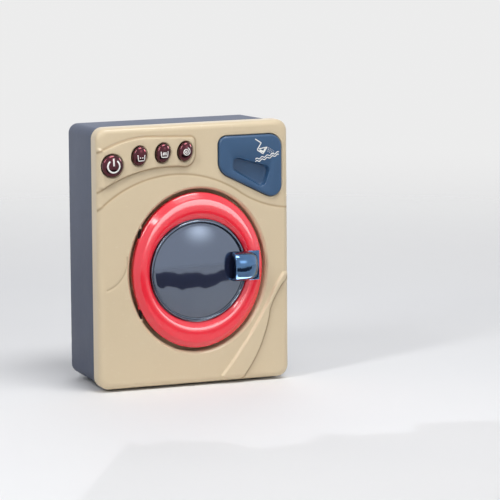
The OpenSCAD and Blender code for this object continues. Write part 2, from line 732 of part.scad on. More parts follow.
module drum() {
  rib_w = 5;
  rib_h = 7;
  rib_tip = 2.4;
  row_n = 3;
  pitch = 360 / hole_n;
  rib_clear = asin((rib_w / 2 + hole_r + 1) / (drum_r - rib_h));
  color("lightgray") at_door() difference() {
    union() {
      turned(0, 0, [[mouth_r + drum_lip, drum_d0], [drum_r, drum_d0], [drum_r, drum_d1],
                    [hub_r + 1, drum_d1], [hub_r + 1, hub_end], [shaft_r + fit, hub_end],
                    [shaft_r + fit, drum_d1 - drum_wall - hub_in],
                    [hub_r, drum_d1 - drum_wall - hub_in], [hub_r + 3, drum_d1 - drum_wall],
                    [drum_r - drum_wall, drum_d1 - drum_wall], [drum_r - drum_wall, drum_d0 + drum_wall],
                    [mouth_r + drum_lip, drum_d0 + drum_wall]]);
      for (i = [0:rib_n - 1]) rotate([0, rib_angle(i), 0])
        plate(drum_d0 + drum_wall / 2, drum_d1 - drum_wall / 2)
          translate([0, drum_r - drum_wall - rib_h])
            polygon([[-rib_tip / 2, 0], [rib_tip / 2, 0], [rib_w / 2, rib_h + drum_wall / 3],
                     [-rib_w / 2, rib_h + drum_wall / 3]]);
    }
    // Wash holes in staggered rows, left out where a rib stands
    for (row = [1:row_n], i = [0:hole_n - 1]) let (a = pitch * (i + (row % 2) / 2 + 0.25))
      if (from_rib(a) > rib_clear) rotate([0, a, 0])
        translate([0, face_y + drum_d0 + row * drum_depth / (row_n + 1), drum_r - 2 * drum_wall])
          cylinder(r = hole_r, h = 3 * drum_wall, $fn = 24);
    for (i = [0:back_hole_n - 1]) rotate([0, 360 * (i + 0.5) / back_hole_n, 0])
      plate(drum_d1 - 2 * drum_wall, drum_d1 + 1) translate([0, 0.55 * drum_r]) circle(hole_r);
  }
}

function rib_angle(i) = 360 * i / rib_n + 30;
function from_rib(a) = min([for (i = [0:rib_n - 1], turn = [-360, 0, 360]) abs(a - rib_angle(i) + turn)]);

module drum_shaft() {
  color("silver") at_door() turned(0, 0, [
    [0, drum_d1 - drum_wall - hub_in + 0.4], [shaft_r, drum_d1 - drum_wall - hub_in + 0.4],
    [shaft_r, layer_2 + gear_t + 0.6], [0, layer_2 + gear_t + 0.6]]);
}

module drum_bush() {
  color("peru") at_door() turned(0, 0, [
    [shaft_r + fit, plate_d0 - bush_flange], [bush_r + 2, plate_d0 - bush_flange], [bush_r + 2, plate_d0],
    [bush_r, plate_d0], [bush_r, layer_2 - 0.6], [shaft_r + fit, layer_2 - 0.6]]);
}

// Gear outline with its first tooth at an angle. Teeth are thinned for running clearance
module gear_outline(teeth, first) {
  pitch = gear_m * teeth / 2;
  root_half = 0.9 * gear_m;
  pitch_half = 0.66 * gear_m;
  tip_half = 0.28 * gear_m;
  circle(pitch - 1.25 * gear_m, $fn = smooth);
  for (i = [0:teeth - 1]) rotate(first + 360 * i / teeth)
    polygon([[pitch - 1.45 * gear_m, -root_half], [pitch, -pitch_half], [pitch + 0.9 * gear_m, -tip_half],
             [pitch + 0.9 * gear_m, tip_half], [pitch, pitch_half], [pitch - 1.45 * gear_m, root_half]]);
}
function gap_up(teeth) = 90 + 180 / teeth;

module drum_gear() {
  color("ivory") translate([door_x, 0, door_z]) difference() {
    union() {
      plate(layer_2, layer_2 + gear_t) difference() {
        gear_outline(drum_teeth, -90);
        for (i = [0:5]) rotate(60 * i + 30) translate([gear_m * drum_teeth / 3.4, 0]) circle(5);
      }
      plate(layer_2, layer_2 + gear_t + 0.6) circle(shaft_r + 3);
    }
    plate(layer_2 - 1, layer_2 + gear_t + 2) circle(shaft_r + fit);
  }
}

module idler_gear() {
  color("ivory") translate([door_x, 0, idler_z]) difference() {
    union() {
      plate(layer_1, layer_1 + gear_t) gear_outline(idler_teeth, -90);
      plate(layer_1 + gear_t - eps, layer_2 + gear_t) gear_outline(pinion_teeth, gap_up(pinion_teeth));
    }
    plate(layer_1 - 1, layer_2 + gear_t + 2) circle(idler_pin_r + fit);
  }
}

module idler_pin() {
  color("silver") translate([door_x, 0, idler_z])
    plate(plate_d0, cover_d0 + cover_t) circle(idler_pin_r);
}

module motor() {
  color("silver") translate([door_x, 0, motor_z]) difference() {
    union() {
      plate(plate_d0 - motor_len, plate_d0 - fit) intersection() {
        circle(motor_r);
        square([2 * motor_r, 2 * motor_flat], center = true);
      }
      plate(plate_d0 - motor_len - 1.5, plate_d0) circle(3);
      for (x = [-1, 1]) plate(plate_d0 - motor_len - 3, plate_d0 - motor_len + 1)
        translate([x * 6.5, 0]) square([0.6, 2.4], center = true);
    }
    plate(plate_d0 - motor_len + 1, plate_d0 + 2) circle(motor_shaft_r + fit);
  }
}

module motor_pinion() {
  color("goldenrod") translate([door_x, 0, motor_z]) {
    plate(layer_1, layer_1 + gear_t) gear_outline(pinion_teeth, gap_up(pinion_teeth));
    plate(plate_d0 - motor_len + 1.2, layer_1 + gear_t + 0.6) circle(motor_shaft_r);
  }
}

module gear_plate() {
  color("white") difference() {
    union() {
      at_door() plate(plate_d0, plate_d1) {
        round_rect(2 * (post_reach + plate_edge), 2 * (post_reach + plate_edge), plate_edge);
        translate([0, motor_z - door_z + (motor_plate_z[0] + motor_plate_z[1]) / 2])
          round_rect(motor_plate_w, motor_plate_z[1] - motor_plate_z[0], plate_edge);
      }
      at_door() for (p = cover_ear_at) plate(plate_d0, cover_d0) translate(p) circle(ear_r);
    }
    at_door() {
      plate(plate_d0 - 1, plate_d1 + 1) circle(bush_r + fit);
      for (p = post_at) plate(plate_d0 - 1, plate_d1 + 1) translate(p) circle(small_screw_r + 2 * fit);
      for (p = cover_ear_at) plate(plate_d1, cover_d0 + 1) translate(p) circle(small_screw_r + fit);
    }
    translate([door_x, 0, idler_z]) plate(plate_d0 - 1, plate_d1 + 1) circle(idler_pin_r + fit);
    translate([door_x, 0, motor_z]) plate(plate_d0 - 1, plate_d1 + 1) circle(3 + fit);
  }
}

// Cover over the gears: a back plate and a low wall that follows the gears' outline
module gear_outline_room(grow) {
  translate([door_x, door_z]) circle(gear_m * drum_teeth / 2 + gear_room + grow, $fn = smooth);
  translate([door_x, idler_z]) circle(gear_m * idler_teeth / 2 + gear_room + grow, $fn = smooth);
  translate([door_x, motor_z]) circle(gear_m * pinion_teeth / 2 + gear_room + 1 + grow);
}

module gear_cover() {
  color("white") difference() {
    union() {
      difference() {
        plate(plate_d1, cover_d0 + cover_t) gear_outline_room(cover_wall);
        plate(plate_d1 - 1, cover_d0) gear_outline_room(0);
      }
      at_door() for (p = cover_ear_at) plate(cover_d0, cover_d0 + cover_t) translate(p) circle(ear_r + 0.6);
    }
    at_door() for (p = cover_ear_at) {
      plate(plate_d1 - 1, cover_d0) translate(p) circle(ear_r + slack);
      plate(plate_d1, cover_d0 + cover_t + 1) translate(p) circle(small_screw_r + 2 * fit);
    }
    translate([door_x, 0, idler_z]) plate(plate_d1, cover_d0 + cover_t + 1) circle(idler_pin_r + fit);
  }
}

module gear_plate_screws() {
  color("silver") at_door() for (p = post_at)
    screw(p.x, p.y, plate_d1, plate_d1 - small_screw_len, small_screw_r, small_head_r, small_head_t);
}

module gear_cover_screws() {
  color("silver") at_door() for (p = cover_ear_at)
    screw(p.x, p.y, cover_d0 + cover_t, cover_d0 + cover_t - small_screw_len + 1, small_screw_r,
          small_head_r, small_head_t);
}

// The power button: a round dome, a flange behind the shell, flat towards the case's side, and a stem
module power_button() {
  rim_d = -pod_h - button_skirt;
  back_d = button_flange_d + button_flange_t;
  color("maroon") at_door() translate([power_at.x, 0, power_at.y]) union() {
    turned(0, 0, concat([[0, back_d], [0, -button_proud]],
                        [for (a = [15:15:75]) [power_r * sin(a), rim_d - (button_proud + rim_d) * cos(a)]],
                        [[power_r, rim_d], [power_r, back_d]]));
    plate(button_flange_d, back_d) intersection() {
      circle(power_r + button_flange);
      span([-power_r + 1.5, 2 * power_r], [-2 * power_r, 2 * power_r]);
    }
    plate(button_flange_d, stem_end) circle(stem_r);
  }
}

// One oval button: a domed cap, a flange behind the shell and a stem to its switch
module small_button(i) {
  rim_d = -pod_h - button_skirt;
  color("maroon") at_door() union() {
    hull() {
      for (a = [0:20:80])
        plate(rim_d - (button_proud + rim_d) * sin(a), 0)
          translate(small_at[i]) rotate(-button_lean)
            polygon(oval(button_w / 2 * cos(a), button_h / 2 * cos(a), 48));
      plate(-pod_h, button_flange_d + button_flange_t / 2) small_button_outline(i);
    }
    plate(button_flange_d, button_flange_d + button_flange_t) small_button_outline(i, button_flange);
    plate(button_flange_d, stem_end) translate(small_at[i]) circle(stem_r);
  }
}

module wash_button() {
  small_button(0);
}

module rinse_button() {
  small_button(1);
}

module spin_button() {
  small_button(2);
}

module circuit_board() {
  color("darkgreen") at_door() difference() {
    plate(board_d0, board_d0 + board_t) span(board_x, board_z);
    for (p = board_screw_at) plate(0, board_d0 + 5) translate(p) circle(small_screw_r + 2 * fit);
  }
}

module push_switches() {
  color("black") at_door() for (p = concat([power_at], small_at)) {
    plate(switch_front + 0.9, board_d0) translate(p) square(switch_w, center = true);
    plate(switch_front, board_d0 - 1) translate(p) circle(1.7);
  }
}

module sound_chip() {
  seat = board_d0 + board_t;
  color("black") at_door() turned(chip_at.x, chip_at.y, [
    [0, seat], [chip_r, seat], [0.9 * chip_r, seat + 0.9], [0.6 * chip_r, seat + 1.5], [0, seat + 1.7]]);
}

module board_screws() {
  color("silver") at_door() for (p = board_screw_at)
    screw(p.x, p.y, board_d0 + board_t, board_d0 + board_t - small_screw_len + 1, small_screw_r,
          small_head_r, thin_head_t);
}

// Small lamp in the bottom of the recess
module drum_lamp() {
  color("lightyellow") at_door() {
    turned(0, lamp_z, concat(
      [[0, recess_depth - lamp_r + 0.5]],
      [for (a = [20:20:80]) [lamp_r * sin(a), recess_depth + 0.5 - lamp_r * cos(a)]],
      [[lamp_r, recess_depth + 0.5], [lamp_r, floor_back], [lamp_r + 0.5, floor_back],
       [lamp_r + 0.5, floor_back + 1], [0, floor_back + 1]]));
    for (x = [-lamp_lead_x, lamp_lead_x]) plate(floor_back + 1 - eps, floor_back + 8)
      translate([x, lamp_z]) square(0.5, center = true);
  }
}

module loudspeaker() {
  rim = speaker_d1 - speaker_rim_t;
  magnet_r = 0.55 * speaker_r;
  color("dimgray") turned(speaker_at.x, speaker_at.y, [
    [0, speaker_d1 - 1.2], [4, speaker_d1 - 2], [speaker_r - 3, speaker_d1 - 0.8],
    [speaker_r - 1.6, speaker_d1], [speaker_r, speaker_d1], [speaker_r, rim], [speaker_r - 2.4, rim],
    [speaker_r - 3.6, speaker_d1 - 3], [magnet_r, speaker_d1 - 3], [magnet_r, speaker_d1 - speaker_t],
    [0, speaker_d1 - speaker_t]]);
}

module speaker_post(side) {
  translate([speaker_at.x + side * speaker_peg, 0, speaker_at.y]) difference() {
    plate(speaker_post_d, rear_inside + 1) circle(2.4);
    plate(speaker_post_d - 1, speaker_post_d + 2.2) circle(small_screw_r + fit);
  }
}

// Strap over the loudspeaker, held on two pegs of the rear casing
module speaker_clamp() {
  color("black") difference() {
    plate(speaker_post_d - speaker_strap_t, speaker_post_d) translate(speaker_at)
      round_rect(2 * speaker_r + 12, 2 * speaker_r - 4, 2.9);
    plate(speaker_post_d - 2, speaker_post_d + 1) translate(speaker_at) circle(speaker_r - 2.2);
    for (side = [-1, 1]) plate(speaker_post_d - 2, speaker_post_d + 1)
      translate(speaker_at + [side * speaker_peg, 0]) circle(small_screw_r + fit);
  }
}

module drawer() {
  color("steelblue") at_door() difference() {
    union() {
      plate(-drawer_proud + 1, drawer_back) polygon(band(drawer_corners));
      plate(-drawer_proud, drawer_back) polygon(band(drawer_corners, -1));
      difference() {
        plate(drawer_back - 1, tray_back) span(tray_x, tray_z);
        plate(drawer_back, tray_back - tray_wall)
          span([tray_x[0] + tray_wall, tray_x[1] - tray_wall], [tray_z[0] + tray_wall, tray_z[1] + 1]);
      }
    }
    plate(-drawer_proud - 1, -drawer_proud + drawer_grip) polygon(band(grip_corners));
  }
}

module drawer_housing() {
  color("gainsboro") at_door() difference() {
    union() {
      plate(housing_front, housing_back)
        span([tray_x[0] - slack - tray_wall, tray_x[1] + slack + tray_wall],
             [tray_z[0] - slack - tray_wall, tray_z[1] + slack + tray_wall]);
      plate(housing_front, housing_front + tray_wall)
        span([housing_tabs[0].x - tab_r, tray_x[0]], [housing_tabs[0].y - tab_r, housing_tabs[0].y + tab_r]);
      plate(housing_front, housing_front + tray_wall)
        span([housing_tabs[1].x - tab_post_r, housing_tabs[1].x + tab_r],
             [housing_tabs[1].y - tab_post_r, tray_z[0]]);
    }
    plate(housing_front - 1, housing_back - tray_wall)
      span([tray_x[0] - slack, tray_x[1] + slack], [tray_z[0] - slack, tray_z[1] + slack]);
    for (p = housing_tabs)
      plate(housing_front - 1, housing_front + 3) translate(p) circle(small_screw_r + 2 * fit);
  }
}

module housing_screws() {
  color("silver") at_door() for (p = housing_tabs)
    screw(p.x, p.y, housing_front + tray_wall, housing_front + tray_wall - small_screw_len + 2,
          small_screw_r, small_head_r, thin_head_t);
}

function cell_z(i) = bay_z + (i - (cell_n - 1) / 2) * (2 * cell_r + 1);
module battery_cells() {
  color("gray") for (i = [0:cell_n - 1])
    translate([0, face_y + cell_d, cell_z(i)]) rotate([0, i % 2 == 0 ? 90 : -90, 0]) {
      translate([0, 0, -cell_len / 2]) cylinder(r = cell_r, h = cell_len - 1.2);
      translate([0, 0, cell_len / 2 - 1.3]) cylinder(r = 2.7, h = 1.3);
    }
}

// Sprung plates at both ends of the cells: a plate and a coil, drawn as a short cone
module battery_contacts() {
  color("silver") for (i = [0:cell_n - 1], s = [-1, 1])
    translate([s * (bay_w / 2 - 0.4), face_y + cell_d, cell_z(i)]) rotate([0, -s * 90, 0]) {
      translate([-5, -5, -0.3]) cube([10, 10, 0.6]);
      rotate_extrude() polygon([[1.6, 0.2], [4.5, 0.2], [4.5, 0.8], [2.6, 3.2], [1.6, 3.2]]);
    }
}

// Outline of the battery cover, used for the cover and, grown, for its seat
module battery_lid(grow, back) {
  plate(case_depth - bay_cover_t - grow, back) {
    translate([0, bay_z]) square([bay_w, bay_h] + 2 * (bay_ledge + grow) * [1, 1], center = true);
    translate([0, cover_screw_z - 1]) round_rect(14 + 2 * grow, 14 + 2 * grow, 4);
  }
}

module battery_cover() {
  color("midnightblue") difference() {
    battery_lid(0, case_depth - 0.2);
    plate(0, case_depth + 1) translate([0, cover_screw_z]) circle(small_screw_r + 2 * fit);
    plate(case_depth - 1, case_depth + 1) translate([0, cover_screw_z]) circle(small_head_r + 2 * fit);
    for (i = [0:3]) plate(case_depth - 0.8, case_depth + 1)
      translate([0, bay_z - bay_h / 2 + 4 + i * 2.4]) square([22, 1.1], center = true);
  }
}

// A wire's route with each bend rounded, and the rings of its tube. Every ring lies in the plane that
// halves its bend, and is the ring before it, slid along the run between them
function unit(v) = v / norm(v);
function rounded(points) =
  let (last = len(points) - 1)
  [points[0],
   for (i = [1:last - 1])
     let (p = points[i],
          before = points[i - 1] - p, after = points[i + 1] - p,
          from = p + unit(before) * min(wire_bend, norm(before) / 2.5),
          to = p + unit(after) * min(wire_bend, norm(after) / 2.5))
     each [from, (from + 2 * p + to) / 4, to],
   points[last]];
function heading(points, i) =
  let (a = max(i, 1), b = min(i, len(points) - 2))
  unit(points[a] - points[a - 1]) + unit(points[b + 1] - points[b]);
function first_ring(points) =
  let (run = unit(points[1] - points[0]), u = unit(cross(run, [1, 0.2, 0.1])), v = cross(run, u))
  [for (i = [0:wire_sides - 1])
     points[0] + wire_r * (cos(360 * i / wire_sides) * u + sin(360 * i / wire_sides) * v)];
function slid(ring, run, to, facing) = [for (q = ring) q + run * ((to - q) * facing) / (run * facing)];
function wire_rings(points, i) =
  i == 0 ? [first_ring(points)]
         : let (done = wire_rings(points, i - 1))
           concat(done, [slid(done[i - 1], points[i] - points[i - 1], points[i], heading(points, i))]);

module wire(points) {
  route = rounded(points);
  last = len(route) - 1;
  n = wire_sides;
  translate([door_x, face_y, door_z]) polyhedron(
    [for (ring = wire_rings(route, last)) each ring],
    concat([[for (i = [0:n - 1]) i]],
           [for (r = [0:last - 1], i = [0:n - 1]) let (j = (i + 1) % n)
              [r * n + i, (r + 1) * n + i, (r + 1) * n + j, r * n + j]],
           [[for (i = [n - 1:-1:0]) last * n + i]]));
}

module wiring() {
  color("firebrick") for (points = [motor_wire_a, battery_wire_a, speaker_wire, lamp_wire]) wire(points);
  color("black") for (points = [motor_wire_b, battery_wire_b]) wire(points);
}

module cover_screw() {
  color("silver") screw(0, cover_screw_z, case_depth - 1, case_depth - 9, small_screw_r, small_head_r, 0.8);
}

front_shell();
rear_shell();
case_screws();
feet();
door_ring();
door_window();
window_retainer();
retainer_screws();
hinge_pins();
door_handle();
handle_pin();
handle_spring();
drum_seal();
drum();
drum_shaft();
drum_bush();
drum_gear();
idler_gear();
idler_pin();
motor();
motor_pinion();
gear_plate();
gear_cover();
gear_plate_screws();
gear_cover_screws();
power_button();
wash_button();
rinse_button();
spin_button();
circuit_board();
push_switches();
sound_chip();
board_screws();
drum_lamp();
loudspeaker();
speaker_clamp();
drawer();
drawer_housing();
housing_screws();
battery_cells();
battery_contacts();
battery_cover();
cover_screw();
wiring();
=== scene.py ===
import bpy
import bmesh
import json
import math
import numpy as np
from mathutils import Matrix, Vector


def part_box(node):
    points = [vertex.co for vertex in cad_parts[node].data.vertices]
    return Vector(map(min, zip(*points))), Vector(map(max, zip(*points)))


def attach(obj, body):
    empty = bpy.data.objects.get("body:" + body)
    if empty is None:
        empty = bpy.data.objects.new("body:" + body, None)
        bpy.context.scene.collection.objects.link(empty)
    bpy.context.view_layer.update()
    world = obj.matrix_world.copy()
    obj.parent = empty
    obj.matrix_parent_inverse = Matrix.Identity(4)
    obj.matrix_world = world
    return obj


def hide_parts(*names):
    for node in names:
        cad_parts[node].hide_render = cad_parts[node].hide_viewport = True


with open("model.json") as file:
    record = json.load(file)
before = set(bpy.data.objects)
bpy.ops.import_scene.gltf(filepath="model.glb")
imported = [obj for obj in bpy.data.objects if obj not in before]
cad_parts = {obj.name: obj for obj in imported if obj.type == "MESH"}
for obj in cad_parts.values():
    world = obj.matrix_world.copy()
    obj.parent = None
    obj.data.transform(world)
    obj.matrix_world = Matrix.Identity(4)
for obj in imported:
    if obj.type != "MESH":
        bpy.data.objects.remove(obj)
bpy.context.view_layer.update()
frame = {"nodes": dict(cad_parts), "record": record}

mm = 0.001
ringLow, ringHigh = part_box("door_ring")
shellLow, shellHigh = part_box("front_shell")
doorX = (ringLow.x + ringHigh.x) / 2
doorZ = (ringLow.z + ringHigh.z) / 2
doorProud = 3.2
faceY = ringLow.y + doorProud * mm
caseW = (shellHigh.x - shellLow.x) / mm
caseTop = shellHigh.z / mm
caseFoot = shellLow.z / mm
caseMidX = -doorX / mm  # the case's middle, seen from the door's centre
caseMidZ = (caseTop + caseFoot) / 2 - doorZ / mm


# A height over the floor, as seen from the door's centre
def overFloor(height):
    return height - doorZ / mm


# Millimetres to metres: x and z run from the door's centre, depth runs back from the face
def at(x, depth, z):
    return Vector((doorX + x * mm, faceY + depth * mm, doorZ + z * mm))


def places(points, depth):
    return np.array([at(x, depth, z) for x, z in points])


# The same for whole arrays of numbers
def placesOf(x, depth, z):
    return np.stack([doorX + x * mm, faceY + depth * mm, doorZ + z * mm], 1)


def coordinates(piece):
    spots = np.zeros(len(piece.data.vertices) * 3)
    piece.data.vertices.foreach_get("co", spots)
    return spots.reshape(-1, 3)


def clearSelection():
    if bpy.context.object and bpy.context.object.mode != "OBJECT":
        bpy.ops.object.mode_set(mode="OBJECT")
    bpy.ops.object.select_all(action="DESELECT")


def take(piece):
    clearSelection()
    piece.select_set(True)
    bpy.context.view_layer.objects.active = piece


def editing(piece):
    take(piece)
    bpy.ops.object.mode_set(mode="EDIT")
    bpy.ops.mesh.select_all(action="DESELECT")
    return bmesh.from_edit_mesh(piece.data)


def doneEditing():
    bpy.ops.object.mode_set(mode="OBJECT")


def modify(piece, kind, **settings):
    take(piece)
    modifier = piece.modifiers.new(kind, kind)
    for key, value in settings.items():
        setattr(modifier, key, value)
    bpy.ops.object.modifier_apply(modifier=modifier.name)


# Extrudes what is selected, once for each ring after the first, onto that ring's places
def growRings(piece, rings):
    for before, after in zip(rings, rings[1:]):
        bpy.ops.mesh.extrude_region_move()
        mesh = bmesh.from_edit_mesh(piece.data)
        picked = [v for v in mesh.verts if v.select]
        here = np.array([v.co for v in picked])
        nearest = ((here[:, None] - before[None]) ** 2).sum(2).argmin(1)
        for vert, i in zip(picked, nearest):
            vert.co = after[i]
        bmesh.update_edit_mesh(piece.data)


def fixNormals(piece):
    editing(piece)
    bpy.ops.mesh.select_all(action="SELECT")
    bpy.ops.mesh.remove_doubles(threshold=1e-6)
    bpy.ops.mesh.normals_make_consistent(inside=False)
    doneEditing()


def named(name):
    piece = bpy.context.object
    piece.name = piece.data.name = name
    return piece


# A form drawn ring by ring. A closed one joins its last ring to its first, as a hollow ring does
def loft(name, rings, closed=False):
    clearSelection()
    rings = [np.array(ring) for ring in rings]
    count = len(rings[0])
    bpy.ops.mesh.primitive_circle_add(vertices=count, radius=1, fill_type="NGON")
    piece = named(name)
    for vert, place in zip(piece.data.vertices, rings[0]):
        vert.co = place
    bpy.ops.object.mode_set(mode="EDIT")
    bpy.ops.mesh.select_all(action="SELECT")
    growRings(piece, rings)
    if closed:
        mesh = bmesh.from_edit_mesh(piece.data)
        bpy.ops.mesh.select_all(action="DESELECT")
        for cap in [f for f in mesh.faces if len(f.verts) == count]:
            cap.select_set(True)
        bpy.ops.mesh.delete(type="ONLY_FACE")
        bpy.ops.mesh.select_all(action="DESELECT")
        mesh = bmesh.from_edit_mesh(piece.data)
        for edge in [e for e in mesh.edges if e.is_boundary]:
            edge.select_set(True)
        bpy.ops.mesh.bridge_edge_loops()
    doneEditing()
    fixNormals(piece)
    return piece


def block(name, x, depth, z):
    clearSelection()
    bpy.ops.mesh.primitive_cube_add(size=2)
    piece = named(name)
    for vert in piece.data.vertices:
        side = [0 if c < 0 else 1 for c in vert.co]
        vert.co = at(x[side[0]], depth[side[1]], z[side[2]])
    return piece


def softEdges(piece, width, segments=3, angle=35):
    modify(piece, "BEVEL", width=width * mm, segments=segments, limit_method="ANGLE",
           angle_limit=math.radians(angle), harden_normals=False)


def oval(a, b, count=96, x=0, z=0, lean=0):
    turn = math.radians(lean)
    angles = [2 * math.pi * i / count for i in range(count)]
    points = [(a * math.cos(angle), b * math.sin(angle)) for angle in angles]
    return [(x + u * math.cos(turn) - v * math.sin(turn), z + u * math.sin(turn) + v * math.cos(turn))
            for u, v in points]


def circleAt(x, z, radius, count=32):
    return oval(radius, radius, count, x, z)


# A piece with the same outline from front to back
def prism(name, outline, depths):
    return loft(name, [places(outline, depth) for depth in depths])


def rod(name, x, z, depths, radius, count=32):
    return prism(name, circleAt(x, z, radius, count), depths)


# A hole whose outline grows or shrinks with depth, given as (growth, depth)
def flared(name, outline, depths):
    return loft(name, [places(outline(grow), depth) for grow, depth in depths])


def upright(name, x, depth, z, radius, count=24):
    ring = circleAt(x, depth, radius, count)
    return loft(name, [[at(u, d, height) for u, d in ring] for height in z])


def joined(name, pieces):
    clearSelection()
    for piece in pieces:
        piece.select_set(True)
    bpy.context.view_layer.objects.active = pieces[0]
    bpy.ops.object.join()
    pieces[0].name = pieces[0].data.name = name
    return pieces[0]


# Cuts tools out of a piece or adds them to it, one by one. cut and add join theirs first: those mustn't touch
def carve(piece, operation, *tools):
    for tool in tools:
        modify(piece, "BOOLEAN", operation=operation, object=tool, solver="EXACT")
        bpy.data.objects.remove(tool, do_unlink=True)
    return piece


def cut(piece, *tools):
    return carve(piece, "DIFFERENCE", joined("cutters", tools) if len(tools) > 1 else tools[0])


def add(piece, *tools):
    return carve(piece, "UNION", joined("additions", tools) if len(tools) > 1 else tools[0])


def finishPiece(piece, body, finish, *nodes, angle=40):
    take(piece)
    bpy.ops.object.shade_smooth_by_angle(angle=math.radians(angle))
    piece.data.materials.clear()
    piece.data.materials.append(materials[finish])
    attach(piece, body)
    if nodes:
        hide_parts(*nodes)


def arc3(a, b, c, count=24):
    (ax, ay), (bx, by), (cx, cy) = a, b, c
    d = 2 * (ax * (by - cy) + bx * (cy - ay) + cx * (ay - by))
    sa, sb, sc = ax * ax + ay * ay, bx * bx + by * by, cx * cx + cy * cy
    mx = (sa * (by - cy) + sb * (cy - ay) + sc * (ay - by)) / d
    my = (sa * (cx - bx) + sb * (ax - cx) + sc * (bx - ax)) / d
    radius = math.hypot(ax - mx, ay - my)
    start, end = math.atan2(ay - my, ax - mx), math.atan2(cy - my, cx - mx)
    turn = 2 * math.pi
    left = (bx - ax) * (cy - by) - (by - ay) * (cx - bx) > 0
    sweep = (end - start) % turn if left else -((start - end) % turn)
    angles = [start + sweep * i / count for i in range(count + 1)]
    return [(mx + radius * math.cos(angle), my + radius * math.sin(angle)) for angle in angles]


# Corner circles (x, z, radius) of an upright box
def boxCorners(x, z, halfW, halfH, radius):
    return [(x + sx * (halfW - radius), z + sz * (halfH - radius), radius)
            for sx, sz in ((1, -1), (1, 1), (-1, 1), (-1, -1))]


# Outline drawn tight round a ring of circles (x, z, radius)
def band(circles, grow=0, count=10):
    def tangent(p, q):
        run = (q[0] - p[0], q[1] - p[1])
        return math.atan2(run[1], run[0]) - math.acos((p[2] - q[2]) / math.hypot(*run))
    points = []
    for i, (x, z, radius) in enumerate(circles):
        start = tangent(circles[i - 1], circles[i])
        end = tangent(circles[i], circles[(i + 1) % len(circles)])
        sweep = (end - start) % (2 * math.pi)
        points += [(x + (radius + grow) * math.cos(start + sweep * j / count),
                    z + (radius + grow) * math.sin(start + sweep * j / count)) for j in range(count + 1)]
    return points


# Distance from many points to a polyline, and to a closed outline with the inside negative
def lineDistance(points, line, closed=False):
    line = np.array(line)
    ends = np.roll(line, -1, 0) if closed else line[1:]
    starts = line if closed else line[:-1]
    best = np.full(len(points), 1e9)
    for a, b in zip(starts, ends):
        run = b - a
        share = np.clip(((points - a) @ run) / max(run @ run, 1e-12), 0, 1)
        best = np.minimum(best, np.hypot(*(points - a - share[:, None] * run).T))
    return best


def insideDistance(points, outline):
    outline = np.array(outline)
    inside = np.zeros(len(points), bool)
    x, z = points.T
    for (ax, az), (bx, bz) in zip(outline, np.roll(outline, -1, 0)):
        crosses = (az > z) != (bz > z)
        with np.errstate(divide="ignore", invalid="ignore"):
            inside ^= crosses & (x < (bx - ax) * (z - az) / (bz - az) + ax)
    away = lineDistance(points, outline, closed=True)
    return np.where(inside, -away, away)


def smoothStep(distance, width):
    share = np.clip(0.5 - distance / width, 0, 1)
    return share * share * (3 - 2 * share)


# A shade as it looks on a screen, 0 to 255, to the linear one that a shader needs
def colour(r, g, b):
    def linear(c):
        c /= 255
        return c / 12.92 if c <= 0.04045 else ((c + 0.055) / 1.055) ** 2.4
    return (linear(r), linear(g), linear(b), 1)


# Wraps a socket, so that shader maths reads as plain sums
class Wire:
    def __init__(self, paint, socket):
        self.paint = paint
        self.socket = socket

    def sums(self, operation, *values):
        return self.paint.node("ShaderNodeMath", {"operation": operation}, dict(enumerate(values)))

    def __add__(self, other):
        return self.sums("ADD", self, other)

    def __radd__(self, other):
        return self.sums("ADD", other, self)

    def __sub__(self, other):
        return self.sums("SUBTRACT", self, other)

    def __rsub__(self, other):
        return self.sums("SUBTRACT", other, self)

    def __mul__(self, other):
        return self.sums("MULTIPLY", self, other)

    def __rmul__(self, other):
        return self.sums("MULTIPLY", other, self)

    def __truediv__(self, other):
        return self.sums("DIVIDE", self, other)

    def __pow__(self, other):
        return self.sums("POWER", self, other)


class Paint:
    def __init__(self, name, **constants):
        self.material = bpy.data.materials.new(name)
        self.material.use_nodes = True
        self.tree = self.material.node_tree
        self.surface = self.tree.nodes["Principled BSDF"]
        for key, value in constants.items():
            self.surface.inputs[key.replace("_", " ")].default_value = value
        self.place = self.node("ShaderNodeTexCoord", output="Object")

    def node(self, kind, settings=None, sockets=None, output=0):
        made = self.tree.nodes.new(kind)
        for key, value in (settings or {}).items():
            setattr(made, key, value)
        for key, value in (sockets or {}).items():
            if isinstance(value, Wire):
                self.tree.links.new(value.socket, made.inputs[key])
            else:
                made.inputs[key].default_value = value
        return Wire(self, made.outputs[output])

    def noise(self, scale, detail=3, roughness=0.5, place=None):
        sockets = {"Vector": place or self.place, "Scale": scale, "Detail": detail, "Roughness": roughness}
        return self.node("ShaderNodeTexNoise", {}, sockets, "Fac")

    def axis(self, name):
        return self.node("ShaderNodeSeparateXYZ", {}, {0: self.place}, name)

    def stretched(self, x, y, z):
        return self.node("ShaderNodeMapping", {}, {"Vector": self.place, "Scale": (x, y, z)})

    def fade(self, value, low, high):
        return self.node("ShaderNodeMapRange", {"interpolation_type": "SMOOTHSTEP"},
                         {"Value": value, "From Min": low, "From Max": high})

    def mix(self, share, first, second):
        return self.node("ShaderNodeMix", {"data_type": "RGBA"}, {0: share, 6: first, 7: second}, 2)

    def bump(self, height, strength, distance=0.0002):
        sockets = {"Height": height, "Strength": strength, "Distance": distance}
        self.set(Normal=self.node("ShaderNodeBump", {}, sockets, "Normal"))

    def set(self, **wires):
        for key, wire in wires.items():
            self.tree.links.new(wire.socket, self.surface.inputs[key.replace("_", " ")])


moulded = dict(mottle=26, clouds=0.25, grain=2600, specks=420, speckShare=0.35, ripple=190, paintedShadeShare=0.8)
